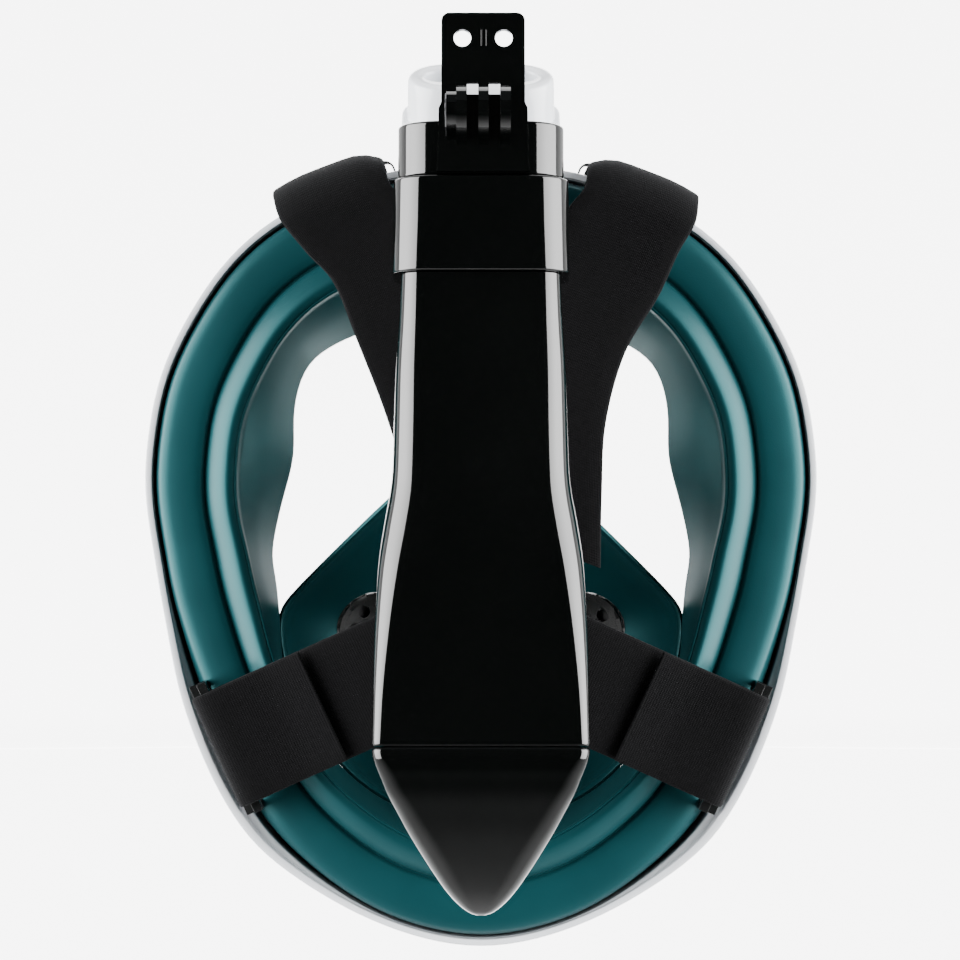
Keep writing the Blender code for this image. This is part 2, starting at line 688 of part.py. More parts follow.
def build_tongue(frame):
    front = axis_offset + sleeve_thickness / 2 + gap
    outer_face = front + tongue_thickness
    root = sleeve_length - 0.4
    bm = bmesh.new()
    half, wide = tongue_width / 2, tongue_width / 2 + 0.7
    corner = 2.2
    edge = []
    for sign in (1, -1):
        arc = [(sign * (half - corner + corner * math.sin(math.radians(15 * i))),
                -tongue_reach + corner - corner * math.cos(math.radians(15 * i))) for i in range(7)]
        side = arc + [(sign * half, -4.0), (sign * wide, -2.6), (sign * (wide + 0.5), root)]
        edge += side if sign == 1 else list(reversed(side))
    loops = [[Vector((x, y, z)) for x, z in edge] for y in (front, outer_face)]
    skin(bm, loops, cap_first=True, cap_last=True)
    tongue = add_node("latch_tongue", bm, "black_plastic", frame)
    pivot = outer_face + finger_radius
    for i in (-1, 0, 1):
        middle = finger_centre + i * finger_pitch
        join_finger(tongue, frame, f"finger_{i + 2}", middle, finger_thickness, finger_radius, pivot)
    boss = finger_centre - finger_pitch - finger_thickness
    join_finger(tongue, frame, "nut_boss", boss + 0.01, finger_thickness, finger_radius - 1.3, pivot)
    bore = cylinder(finger_bore_radius, 30, (finger_centre, pivot, -0.7), (1, 0, 0), 24)
    combine(tongue, add_object("finger_bore", bore, frame))
    pocket = cylinder((nut_flats / 2 + 0.25) / math.cos(math.pi / 6), 4,
                      (boss - finger_thickness / 2 + nut_thickness - 2, pivot, -0.7), (1, 0, 0), 6)
    combine(tongue, add_object("nut_pocket", pocket, frame))
    for side in (-1, 1):
        hole = cylinder(latch_hole_radius, 8, (side * latch_hole_spread, front, -latch_hole_reach),
                        (0, 1, 0), 24)
        combine(tongue, add_object(f"latch_hole_{side}", hole, frame))
        middle = finger_centre + side * finger_pitch / 2
        gap_half = (finger_pitch - finger_thickness) / 2 - 0.05
        window = box((middle - gap_half, front - 2, -9.6), (middle + gap_half, outer_face + 2, -6.4))
        combine(tongue, add_object(f"finger_window_{side}", window, frame))


def join_finger(tongue, frame, name, middle, thickness, radius, pivot):
    bm = bmesh.new()
    root = pivot - finger_radius - 0.8
    points = [Vector((0, root, radius - 0.7)), Vector((0, root, -radius - 0.7))]
    for i in range(13):
        a = math.radians(-90 + 15 * i)
        points.append(Vector((0, pivot + radius * math.cos(a), radius * math.sin(a) - 0.7)))
    half = Vector((thickness / 2, 0, 0))
    offset = Vector((middle, 0, 0))
    skin(bm, [[p + offset - half for p in points], [p + offset + half for p in points]],
         cap_first=True, cap_last=True)
    combine(tongue, add_object(f"guide_{name}", bm, frame), "UNION")


def build_nut(frame):
    pivot = axis_offset + sleeve_thickness / 2 + gap + tongue_thickness + finger_radius
    boss = finger_centre - finger_pitch - finger_thickness
    place = (boss - finger_thickness / 2 + nut_thickness / 2 - gap, pivot, -0.7)
    nut = add_node("camera_nut", cylinder(nut_flats / 2 / math.cos(math.pi / 6), nut_thickness,
                                          place, (1, 0, 0), 6), "steel", frame)
    thread = cylinder(2.1, 10, place, (1, 0, 0), 20)
    combine(nut, add_object("nut_thread", thread, frame))


# Head harness -------------------------------------------------------------

upper_paths = {
    "left": [(-40, 43.5, 81.6), (-42, 37, 85.6), (-43.5, 27, 89), (-44, 14, 90.4), (-43.5, 2, 88),
             (-41, -3.4, 81), (-34, -4.2, 71), (-26, -4.6, 62), (-19.5, -5, 46), (-11, -5.6, 24),
             (-5.5, -5.8, 4), (-4, -5.8, -19)],
    "right": [(43, 43.5, 80), (45, 37, 84), (46, 27, 87.6), (46.8, 14, 89), (46.4, 2, 87),
              (45, -3.4, 80), (40, -4.2, 70), (34.5, -4.6, 58), (25, -6.4, 42), (19.5, -8.4, 22),
              (18.4, -8.6, 2), (18, -8.6, -19)],
}
upper_across = (0.935, 0, 0.355)
loop_middle = (75.0, -77.8)    # middle of the slot line in the frame's lower corner
loop_across = Vector((-0.416, 0, -0.909))
loop_inward = Vector((-0.909, 0, 0.416))
lower_path = [(74, -8.6), (58, -8.2), (40, -6.2), (28, -3.5), (20, -1.8), (13.5, 0.5), (9.0, 2.2),
              (4.2, 3.1), (1.4, 2.3), (0.2, 0.2), (0.2, -2), (1.4, -4.0), (4.6, -4.9), (12, -5.0),
              (22, -5.5), (33, -7.8)]


def mirrored(vector, side):
    return Vector((vector[0] * side, vector[1], vector[2]))


def build_upper_strap(side, name):
    across = mirrored(upper_across, -side)
    bm = ribbon(upper_paths[name], across, steps=2)
    add_node(f"strap_upper_{name}", bm, "strap_webbing", sharp=60)


def build_upper_clip(side, name):
    """Flat loop on the front of the frame that an upper strap passes through."""
    slot_middle = Vector(upper_paths[name][1])
    across = mirrored(upper_across, -side)
    up = Vector((0, 1, 0)).cross(across)
    place = Matrix((across, Vector((0, 1, 0)), -up)).transposed().to_4x4()
    place.translation = Vector((slot_middle.x, frame_front + gap + 1.2, slot_middle.z))
    half = strap_width / 2
    clip = add_node(f"strap_clip_{name}", box((-half - 2.5, -1.2, -6), (half + 2.5, 1.2, 5), place),
                    "black_plastic")
    slot = box((-half - 0.8, -4, -2.7), (half + 0.8, 4, 3.1), place)
    combine(clip, add_object(f"clip_slot_{name}", slot))


def lower_point(side, along, depth):
    base = Vector((loop_middle[0], 0, loop_middle[1])) + loop_inward * along
    return mirrored((base.x, depth, base.z), side)


def build_lower_strap(side, name):
    points = [lower_point(side, along, depth) for along, depth in lower_path]
    bm = ribbon(points, mirrored(loop_across, side), steps=2)
    add_node(f"strap_lower_{name}", bm, "strap_webbing", sharp=60)


def build_strap_loop(side, name):
    """Loop on the rear edge of the frame: a foot plate and an upright ring round the strap."""
    across, inward = mirrored(loop_across, side), mirrored(loop_inward, side)
    place = Matrix((across, inward, Vector((0, 1, 0)))).transposed().to_4x4()
    place.translation = mirrored((loop_middle[0], 0, loop_middle[1]), side)
    half = strap_width / 2
    foot = frame_rear - gap
    plate = box((-half - 3.2, -0.6, foot - 1.8), (half + 3.2, 4.4, foot), place)
    loop = add_node(f"strap_loop_{name}", plate, "black_plastic")
    ring = box((-half - 3, 2.4, -2.6), (half + 3, 5.0, foot - 0.2), place)
    combine(loop, add_object(f"loop_ring_{name}", ring), "UNION")
    window = box((-half - 1, 1, 1.2), (half + 1, 8, foot - 1.9), place)
    combine(loop, add_object(f"loop_window_{name}", window))


def build_yoke():
    """Patch that the four straps are sewn to at the back of the head."""
    bm = bmesh.new()
    loops = []
    for depth in (-11.6, -9.9):
        loop = rounded_loop(62, 62, 10, 0, 0)
        loops.append([Vector((p.x, depth, p.y - 29)) for p in loop])
    skin(bm, loops, cap_first=True, cap_last=True)
    add_node("harness_yoke", bm, "strap_webbing")


def build_all():
    clear_scene()
    build_outer_frame()
    build_lens()
    build_skirt()
    build_cup()
    sides = ((-1, "left"), (1, "right"))
    for side, name in sides:
        build_exhale_duct(side, name)
        build_valve(f"inlet_seat_{name}", f"inlet_flap_{name}",
                    mirrored(inlet_place, side), mirrored(inlet_direction, side), "black_plastic")
        build_upper_strap(side, name)
        build_upper_clip(side, name)
        build_lower_strap(side, name)
        build_strap_loop(side, name)
    build_valve("purge_seat", "purge_flap", purge_place, purge_direction, "black_plastic")
    build_purge_cover()
    build_yoke()
    neck_frame = add_frame("neck_frame", neck_tilt)
    build_neck(neck_frame)
    build_hinge_pin(neck_frame)
    snorkel_frame = add_frame("snorkel_frame", folded_tilt)
    for build in (build_sleeve, build_gasket, build_collar, build_tube, build_tip,
                  build_inner_duct, build_float, build_tongue, build_nut):
        build(snorkel_frame)


build_all()
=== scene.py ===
import bpy
import bmesh
import math
from mathutils import Matrix, Vector


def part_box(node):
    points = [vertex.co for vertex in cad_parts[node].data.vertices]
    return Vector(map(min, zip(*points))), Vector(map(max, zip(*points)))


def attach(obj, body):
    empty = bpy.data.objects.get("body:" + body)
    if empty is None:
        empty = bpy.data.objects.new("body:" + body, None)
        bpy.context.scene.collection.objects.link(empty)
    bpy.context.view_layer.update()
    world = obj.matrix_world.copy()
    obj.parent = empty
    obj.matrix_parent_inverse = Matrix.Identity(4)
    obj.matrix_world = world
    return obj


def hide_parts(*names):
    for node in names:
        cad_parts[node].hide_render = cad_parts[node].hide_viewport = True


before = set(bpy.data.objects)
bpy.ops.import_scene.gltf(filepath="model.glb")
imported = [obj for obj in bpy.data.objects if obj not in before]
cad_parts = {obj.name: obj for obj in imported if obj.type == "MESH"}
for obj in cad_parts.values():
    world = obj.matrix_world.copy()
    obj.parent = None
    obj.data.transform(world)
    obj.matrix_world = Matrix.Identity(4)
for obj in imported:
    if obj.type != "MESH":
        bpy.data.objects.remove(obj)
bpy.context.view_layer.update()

mm = 0.001


# Curves and meshes that many pieces share

def smoothCurve(points, steps, closed=False):
    points = [Vector(p) for p in points]
    count = len(points)
    result = []
    for i in range(count if closed else count - 1):
        if closed:
            near = [points[(i + k - 1) % count] for k in range(4)]
        else:
            near = [points[min(max(i + k - 1, 0), count - 1)] for k in range(4)]
        a, b, c, d = near
        for step in range(steps):
            t = step / steps
            result.append(0.5 * (2 * b + (c - a) * t + (2 * a - 5 * b + 4 * c - d) * t * t
                                 + (3 * b - a - 3 * c + d) * t ** 3))
    if not closed:
        result.append(points[-1].copy())
    return result


def growRows(bm, rows, closed=True):
    # A loop of edges is extruded from row to row; "column" keeps each point's place in its row
    column = bm.verts.layers.int.get("column") or bm.verts.layers.int.new("column")
    level = bm.verts.layers.float.get("level") or bm.verts.layers.float.new("level")
    verts = [bm.verts.new(p) for p in rows[0]]
    for i, vert in enumerate(verts):
        vert[column] = i
        vert[level] = 0
    count = len(verts)
    edges = [bm.edges.new((verts[i], verts[(i + 1) % count]))
             for i in range(count if closed else count - 1)]
    first = edges
    for number, row in enumerate(rows[1:], 1):
        grown = bmesh.ops.extrude_edge_only(bm, edges=edges)["geom"]
        fresh = {g for g in grown if isinstance(g, bmesh.types.BMVert)}
        edges = [g for g in grown if isinstance(g, bmesh.types.BMEdge)
                 and g.verts[0] in fresh and g.verts[1] in fresh]
        for vert in fresh:
            vert.co = row[vert[column]]
            vert[level] = number
    return first, edges


def closeEnd(bm, edges):
    bmesh.ops.edgeloop_fill(bm, edges=edges)


def mirroredPoint(vector, side):
    return Vector((vector[0] * side, vector[1], vector[2]))


def place(bm, matrix):
    bmesh.ops.transform(bm, matrix=matrix, verts=bm.verts)


def makePiece(name, bm, material, body, nodes=(), sharp=40, weld=0.0004):
    # Meshes are drawn in millimetres
    if weld:
        bmesh.ops.remove_doubles(bm, verts=bm.verts, dist=weld)
    bmesh.ops.recalc_face_normals(bm, faces=bm.faces)
    bmesh.ops.scale(bm, verts=bm.verts, vec=(mm, mm, mm))
    mesh = bpy.data.meshes.new(name)
    bm.to_mesh(mesh)
    bm.free()
    for layer in ("column", "level"):
        if layer in mesh.attributes:
            mesh.attributes.remove(mesh.attributes[layer])
    piece = bpy.data.objects.new(name, mesh)
    bpy.context.scene.collection.objects.link(piece)
    mesh.materials.append(material)
    mesh.shade_smooth()
    mesh.set_sharp_from_angle(angle=math.radians(sharp))
    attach(piece, body)
    if nodes:
        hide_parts(*nodes)
    return piece


def softenEdges(piece, width, segments=2, angle=35):
    bevel = piece.modifiers.new("softEdges", "BEVEL")
    bevel.width = width * mm
    bevel.segments = segments
    bevel.limit_method = "ANGLE"
    bevel.angle_limit = math.radians(angle)
    bevel.harden_normals = True


# Materials

def newMaterial(name, **sockets):
    material = bpy.data.materials.new(name)
    material.use_nodes = True
    shader = material.node_tree.nodes["Principled BSDF"]
    for socket, value in sockets.items():
        shader.inputs[socket.replace("_", " ")].default_value = value
    return material, material.node_tree, shader


def addNoise(tree, scale, detail=4.0, stretch=(1, 1, 1)):
    where = tree.nodes.new("ShaderNodeTexCoord")
    mapping = tree.nodes.new("ShaderNodeMapping")
    mapping.inputs["Scale"].default_value = stretch
    noise = tree.nodes.new("ShaderNodeTexNoise")
    noise.inputs["Scale"].default_value = scale
    noise.inputs["Detail"].default_value = detail
    tree.links.new(where.outputs["Object"], mapping.inputs["Vector"])
    tree.links.new(mapping.outputs["Vector"], noise.inputs["Vector"])
    return noise


def rampTo(tree, source, target, low, high, stops=(0.3, 0.7)):
    ramp = tree.nodes.new("ShaderNodeValToRGB")
    ramp.color_ramp.elements[0].position = stops[0]
    ramp.color_ramp.elements[1].position = stops[1]
    ramp.color_ramp.elements[0].color = low
    ramp.color_ramp.elements[1].color = high
    tree.links.new(source, ramp.inputs["Fac"])
    tree.links.new(ramp.outputs["Color"], target)


def spreadTo(tree, source, target, low, high):
    spread = tree.nodes.new("ShaderNodeMapRange")
    spread.inputs["To Min"].default_value = low
    spread.inputs["To Max"].default_value = high
    tree.links.new(source, spread.inputs["Value"])
    tree.links.new(spread.outputs["Result"], target)


def bumpFrom(tree, shader, source, strength, distance):
    bump = tree.nodes.new("ShaderNodeBump")
    bump.inputs["Strength"].default_value = strength
    bump.inputs["Distance"].default_value = distance
    tree.links.new(source, bump.inputs["Height"])
    tree.links.new(bump.outputs["Normal"], shader.inputs["Normal"])


def tealSilicone():
    material, tree, shader = newMaterial("tealSilicone", Roughness=0.42, IOR=1.42, Sheen_Weight=0.03,
                                         Sheen_Roughness=0.5, Specular_IOR_Level=0.5)
    shader.inputs["Sheen Tint"].default_value = (0.3, 0.8, 0.85, 1)
    shader.inputs["Specular Tint"].default_value = (0.32, 0.9, 0.94, 1)
    tone = addNoise(tree, 35, 5)
    rampTo(tree, tone.outputs["Fac"], shader.inputs["Base Color"],
           (0.0022, 0.026, 0.030, 1), (0.0034, 0.034, 0.039, 1))
    spreadTo(tree, tone.outputs["Fac"], shader.inputs["Roughness"], 0.33, 0.4)
    grain = addNoise(tree, 2600, 2)
    bumpFrom(tree, shader, grain.outputs["Fac"], 0.12, 0.0002)
    return material


def glossBlack():
    material, tree, shader = newMaterial("glossBlack", Roughness=0.06, IOR=1.5, Coat_Weight=0.35,
                                         Coat_Roughness=0.03)
    tone = addNoise(tree, 18, 4)
    rampTo(tree, tone.outputs["Fac"], shader.inputs["Base Color"],
           (0.0006, 0.0009, 0.0008, 1), (0.0014, 0.0017, 0.0016, 1))
    spreadTo(tree, tone.outputs["Fac"], shader.inputs["Roughness"], 0.045, 0.09)
    wave = addNoise(tree, 60, 2)
    bumpFrom(tree, shader, wave.outputs["Fac"], 0.02, 0.0002)
    return material


def satinBlack():
    material, tree, shader = newMaterial("satinBlack", Roughness=0.28, IOR=1.5)
    tone = addNoise(tree, 120, 5)
    rampTo(tree, tone.outputs["Fac"], shader.inputs["Base Color"],
           (0.0045, 0.005, 0.005, 1), (0.009, 0.0095, 0.0095, 1))
    spreadTo(tree, tone.outputs["Fac"], shader.inputs["Roughness"], 0.2, 0.34)
    grain = addNoise(tree, 1800, 3)
    bumpFrom(tree, shader, grain.outputs["Fac"], 0.08, 0.0002)
    return material


def whitePlastic():
    material, tree, shader = newMaterial("whitePlastic", Roughness=0.16, IOR=1.5,
                                         Coat_Weight=0.2, Coat_Roughness=0.05)
    tone = addNoise(tree, 22, 3)
    rampTo(tree, tone.outputs["Fac"], shader.inputs["Base Color"],
           (0.70, 0.73, 0.77, 1), (0.77, 0.79, 0.82, 1))
    spreadTo(tree, tone.outputs["Fac"], shader.inputs["Roughness"], 0.12, 0.22)
    grain = addNoise(tree, 900, 2)
    bumpFrom(tree, shader, grain.outputs["Fac"], 0.03, 0.0002)
    return material


def clearLens():
    material, tree, shader = newMaterial("clearLens", Roughness=0.0, IOR=1.12,
                                         Transmission_Weight=1.0)
    tone = addNoise(tree, 6, 2)
    rampTo(tree, tone.outputs["Fac"], shader.inputs["Base Color"],
           (0.985, 0.99, 0.992, 1), (1, 1, 1, 1))
    spreadTo(tree, tone.outputs["Fac"], shader.inputs["Roughness"], 0.0, 0.015)
    return material


def blackRubber():
    material, tree, shader = newMaterial("blackRubber", Roughness=0.6, IOR=1.45)
    tone = addNoise(tree, 200, 5)
    rampTo(tree, tone.outputs["Fac"], shader.inputs["Base Color"],
           (0.012, 0.012, 0.012, 1), (0.024, 0.024, 0.025, 1))
    bumpFrom(tree, shader, tone.outputs["Fac"], 0.2, 0.0002)
    return material


def webbing():
    # The weave reads the strap's own UV map, laid out in metres along and across it
    material, tree, shader = newMaterial("webbing", Roughness=0.95, Specular_IOR_Level=0.12,
                                         Sheen_Weight=0.03,
                                         Sheen_Roughness=0.55)
    shader.inputs["Sheen Tint"].default_value = (0.5, 0.52, 0.55, 1)
    where = tree.nodes.new("ShaderNodeTexCoord")
    heights = []
    for direction, scale in (("X", 620.0), ("Y", 430.0)):
        wave = tree.nodes.new("ShaderNodeTexWave")
        wave.bands_direction = direction
        wave.inputs["Scale"].default_value = scale
        wave.inputs["Distortion"].default_value = 0.6
        wave.inputs["Detail"].default_value = 1.0
        tree.links.new(where.outputs["UV"], wave.inputs["Vector"])
        heights.append(wave.outputs["Fac"])
    weave = tree.nodes.new("ShaderNodeMath")
    weave.operation = "MULTIPLY"
    tree.links.new(heights[0], weave.inputs[0])
    tree.links.new(heights[1], weave.inputs[1])
    fuzz = addNoise(tree, 900, 6)
    both = tree.nodes.new("ShaderNodeMath")
    both.operation = "ADD"
    tree.links.new(weave.outputs[0], both.inputs[0])
    tree.links.new(fuzz.outputs["Fac"], both.inputs[1])
    rampTo(tree, both.outputs[0], shader.inputs["Base Color"],
           (0.0012, 0.0012, 0.0014, 1), (0.0042, 0.0041, 0.0046, 1), (0.3, 1.0))
    bumpFrom(tree, shader, both.outputs[0], 0.5, 0.00025)
    return material


def steel():
    material, tree, shader = newMaterial("steel", Roughness=0.3, Metallic=1.0)
    tone = addNoise(tree, 300, 4, (1, 8, 8))
    rampTo(tree, tone.outputs["Fac"], shader.inputs["Base Color"],
           (0.5, 0.5, 0.52, 1), (0.68, 0.68, 0.7, 1))
    spreadTo(tree, tone.outputs["Fac"], shader.inputs["Roughness"], 0.22, 0.38)
    return material


def foam():
    material, tree, shader = newMaterial("foam", Roughness=0.75)
    tone = addNoise(tree, 500, 5)
    rampTo(tree, tone.outputs["Fac"], shader.inputs["Base Color"],
           (0.62, 0.62, 0.6, 1), (0.78, 0.78, 0.76, 1))
    bumpFrom(tree, shader, tone.outputs["Fac"], 0.3, 0.0003)
    return material


finishes = {"teal": tealSilicone(), "gloss": glossBlack(), "satin": satinBlack(),
            "white": whitePlastic(), "clear": clearLens(), "rubber": blackRubber(),
            "webbing": webbing(), "steel": steel(), "foam": foam()}
print("materials made")


# Camera, light and floor

studio = {"cameraBack": 1.1, "focal": 144.4, "sensor": 36.0, "floor": -0.95,
          "boxAzimuth": 75, "boxDistance": 0.95, "boxSize": (1.16, 1.2), "boxPower": 31,
          "boxSpread": 115, "glow": (0.0, 2.4, 0, 6.0),
          "dimGlow": (-1.5, 0.0, 0, 0.14), "wallShade": (-2.2, -0.4, 0.02, 0.6)}


def addCamera():
    data = bpy.data.cameras.new("camera")
    data.lens = studio["focal"]
    data.sensor_width = studio["sensor"]
    data.shift_x = -0.001
    camera = bpy.data.objects.new("camera", data)
    camera.location = (0, -studio["cameraBack"], 0)
    camera.rotation_euler = (math.radians(90), 0, 0)
    bpy.context.scene.collection.objects.link(camera)
    bpy.context.scene.camera = camera


def addAreaLight(name, spot, target, size, power):
    data = bpy.data.lights.new(name, "AREA")
    data.shape = "RECTANGLE"
    data.size, data.size_y = size
    data.energy = power
    data.spread = math.radians(studio["boxSpread"])
    light = bpy.data.objects.new(name, data)
    light.location = spot
    light.rotation_euler = (Vector(target) - Vector(spot)).to_track_quat("-Z", "Y").to_euler()
    bpy.context.scene.collection.objects.link(light)


def addLights():
    far = studio["boxDistance"]
    turn = math.radians(studio["boxAzimuth"])
    for side, name in ((-1, "left"), (1, "right")):
        spot = (side * far * math.sin(turn), -far * math.cos(turn), 0.05)
        addAreaLight(f"softbox_{name}", spot, (0, 0, 0), studio["boxSize"], studio["boxPower"])
    addAreaLight("topLight", (0, 0.35, 1.1), (0, 0, 0), (1.2, 0.8), 5)


def alongDepth(tree, axes, near, far, low, high):
    # A value that goes from low to high between two places on the way from the camera to the wall
    spread = tree.nodes.new("ShaderNodeMapRange")
    for socket, value in (("From Min", near), ("From Max", far), ("To Min", low), ("To Max", high)):
        spread.inputs[socket].default_value = value
    tree.links.new(axes.outputs["Y"], spread.inputs["Value"])
    return spread.outputs["Result"]


def addBackdrop():
    # A round pale floor that sweeps up into a wall: bright behind the mask, black behind the camera
    bm = bmesh.new()
    profile = [(0, 0), (2.4, 0), (2.9, 0.06), (3.25, 0.25), (3.45, 0.6), (3.5, 1.0), (3.5, 4.0)]
    verts = [bm.verts.new((0, p.x, p.y)) for p in smoothCurve([(r, z, 0) for r, z in profile], 6)]
    edges = [bm.edges.new(pair) for pair in zip(verts, verts[1:])]
    bmesh.ops.spin(bm, geom=verts + edges, cent=(0, 0, 0), axis=(0, 0, 1), angle=math.tau, steps=72,
                   use_merge=True)
    bmesh.ops.remove_doubles(bm, verts=bm.verts, dist=0.0001)
    bmesh.ops.recalc_face_normals(bm, faces=bm.faces)
    bmesh.ops.translate(bm, verts=bm.verts, vec=(0, 0, studio["floor"]))
    mesh = bpy.data.meshes.new("backdrop")
    bm.to_mesh(mesh)
    bm.free()
    mesh.shade_smooth()
    material, tree, shader = newMaterial("backdrop", Roughness=0.9)
    shader.inputs["Emission Color"].default_value = (1, 1, 1, 1)
    where = tree.nodes.new("ShaderNodeTexCoord")
    axes = tree.nodes.new("ShaderNodeSeparateXYZ")
    tree.links.new(where.outputs["Object"], axes.inputs["Vector"])
    glow, dim, shade = [alongDepth(tree, axes, *studio[key]) for key in ("glow", "dimGlow", "wallShade")]
    tree.links.new(shade, shader.inputs["Base Color"])
    width = tree.nodes.new("ShaderNodeMath")
    width.operation = "ABSOLUTE"
    tree.links.new(axes.outputs["X"], width.inputs[0])
    fade = tree.nodes.new("ShaderNodeMapRange")
    for socket, value in (("From Min", 0.62), ("From Max", 1.3), ("To Min", 1), ("To Max", 0.08)):
        fade.inputs[socket].default_value = value
    tree.links.new(width.outputs[0], fade.inputs["Value"])
    both = tree.nodes.new("ShaderNodeMath")
    both.operation = "MULTIPLY_ADD"
    tree.links.new(dim, both.inputs[2])
    tree.links.new(glow, both.inputs[0])
    tree.links.new(fade.outputs["Result"], both.inputs[1])
    tree.links.new(both.outputs[0], shader.inputs["Emission Strength"])
    mesh.materials.append(material)
    backdrop = bpy.data.objects.new("backdrop", mesh)
    bpy.context.scene.collection.objects.link(backdrop)


def addWorld():
    world = bpy.data.worlds.new("studioWorld")
    world.use_nodes = True
    background = world.node_tree.nodes["Background"]
    background.inputs["Color"].default_value = (0.8, 0.85, 0.9, 1)
    background.inputs["Strength"].default_value = 0.14
    bpy.context.scene.world = world


addCamera()
addLights()
addBackdrop()
addWorld()
print("studio set")


# Rings of the mask: drawn round a point on the centre plane

ring = {"centre": -20.0, "columns": 176, "cornerAngle": 131.0, "cornerSpread": 38.0}
maskOutline = [(0, 90.8), (23, 89.4), (40, 84.6), (59, 75.5), (73.5, 63), (85, 46), (92.8, 28.6),
               (96.4, 8), (96.5, -6), (93.9, -23), (91, -40), (85.4, -66), (74, -92.4),
               (59.5, -110), (30, -127.5), (0, -134.4)]
lipOutline = [(0, 47), (20, 46.5), (35.2, 42.8), (46.8, 37), (51.4, 32), (54.5, 20.4), (54.5, 7.3),
              (58.5, -8.7), (60.9, -21.8), (59.7, -28), (58.5, -40), (57, -56), (48, -74),
              (36, -88), (20, -97), (0, -100)]
cupOutline = [(0, 14), (9, 11.5), (20, 1), (36, -14), (55, -33), (59, -39.5), (58.5, -50),
              (56, -58), (48, -74), (36, -88), (20, -97), (0, -100)]


def radiusRound(half, centre):
    mirrored = [(-x, z) for x, z in reversed(half) if x > 0]
    curve = smoothCurve([(x, z, 0) for x, z in half + mirrored], 12, closed=True)
    known = sorted((math.atan2(p.x, p.y - centre) % math.tau, math.hypot(p.x, p.y - centre))
                   for p in curve)
    known = [(known[-1][0] - math.tau, known[-1][1])] + known + [(known[0][0] + math.tau, known[0][1])]

    def radius(angle):
        angle %= math.tau
        for (a, low), (b, high) in zip(known, known[1:]):
            if a <= angle <= b:
                return low + (high - low) * (angle - a) / max(b - a, 1e-9)
        return known[0][1]
    return radius


def tableOf(radius):
    return [radius(math.tau * i / ring["columns"]) for i in range(ring["columns"])]


def evened(values, passes=3):
    for _ in range(passes):
        values = [(values[i - 1] + 2 * values[i] + values[(i + 1) % len(values)]) / 4
                  for i in range(len(values))]
    return values


def cornerBump(angle):
    turn = abs((math.degrees(angle) + 180) % 360 - 180)
    away = min(abs(turn - ring["cornerAngle"]) / ring["cornerSpread"], 1)
    return math.cos(away * math.pi / 2) ** 2


ringAngles = [math.tau * i / ring["columns"] for i in range(ring["columns"])]
outlineRadii = evened(tableOf(radiusRound(maskOutline, ring["centre"])))
lipRadii = evened(tableOf(radiusRound(lipOutline, ring["centre"])), 4)
bumps = [cornerBump(a) for a in ringAngles]


def atAngle(angle, radius, depth, centre=None):
    middle = ring["centre"] if centre is None else centre
    return Vector((radius * math.sin(angle), depth, middle + radius * math.cos(angle)))


def insetRow(inset, corner, depth):
    return [atAngle(a, r - inset - corner * b, depth)
            for a, r, b in zip(ringAngles, outlineRadii, bumps)]


def lipRow(share, inset, corner, depth):
    return [atAngle(a, (r - inset - corner * b) * (1 - share) + lip * share, depth)
            for a, r, b, lip in zip(ringAngles, outlineRadii, bumps, lipRadii)]


def closedRing(rows):
    bm = bmesh.new()
    growRows(bm, rows + [rows[0]])
    return bm


def roundedProfile(points, steps=4):
    return [tuple(p) for p in smoothCurve(points, steps)]


def buildOuterFrame():
    rows = [(0.5, 0, 9.0), (0.15, 0, 9.15), (0, 0, 9.6), (0, 0, 20), (0, 0, 33.4), (0.25, 0, 34.6),
            (0.9, 0, 35.8), (1.9, 0, 36.4), (3, 1, 36.5), (5.6, 3.6, 36.5), (5.95, 3.6, 36.3),
            (6, 3.6, 35.8), (6, 3.6, 34.5), (2.2, 3.6, 34.5), (2.2, 3.6, 12.0), (2.15, 3.5, 11.6),
            (1.95, 3.3, 11.3), (1.95, 1.2, 11.2), (1.95, 0.9, 10.9), (1.9, 0.8, 9.4),
            (1.75, 0.7, 9.08), (1.5, 0.6, 9.0)]
    bm = closedRing([insetRow(*row) for row in rows])
    makePiece("outerFrame", bm, finishes["white"], "mask", ["outer_frame"])


def lensRows():
    start = 6.3
    outer = [(start, 3.6, 34.2), (start, 3.6, 38), (start + 0.15, 3.6, 43), (start + 0.8, 3.6, 50),
             (start + 2.0, 3.6, 57), (start + 4.2, 3.5, 65), (start + 7.6, 3.3, 73),
             (start + 12.6, 3.0, 80.5), (start + 19.5, 2.5, 86.4), (start + 28, 2, 90),
             (start + 38, 1.4, 92.2), (start + 50, 0.8, 93.8), (start + 62, 0.3, 94.9)]
    return roundedProfile(outer, 3)


def addHole(bm, radius, centre, normal, segments, depth):
    hole = bmesh.ops.create_cone(bm, cap_ends=True, segments=segments, radius1=radius,
                                 radius2=radius, depth=depth)["verts"]
    turn = Vector(normal).to_track_quat("Z", "Y").to_matrix()
    bmesh.ops.rotate(bm, verts=hole, cent=(0, 0, 0), matrix=turn)
    bmesh.ops.translate(bm, verts=hole, vec=centre)


def plainObject(name, bm, matrix=Matrix()):
    bmesh.ops.recalc_face_normals(bm, faces=bm.faces)
    place(bm, matrix)
    bmesh.ops.scale(bm, verts=bm.verts, vec=(mm, mm, mm))
    mesh = bpy.data.meshes.new(name)
    bm.to_mesh(mesh)
    bm.free()
    thing = bpy.data.objects.new(name, mesh)
    bpy.context.scene.collection.objects.link(thing)
    return thing


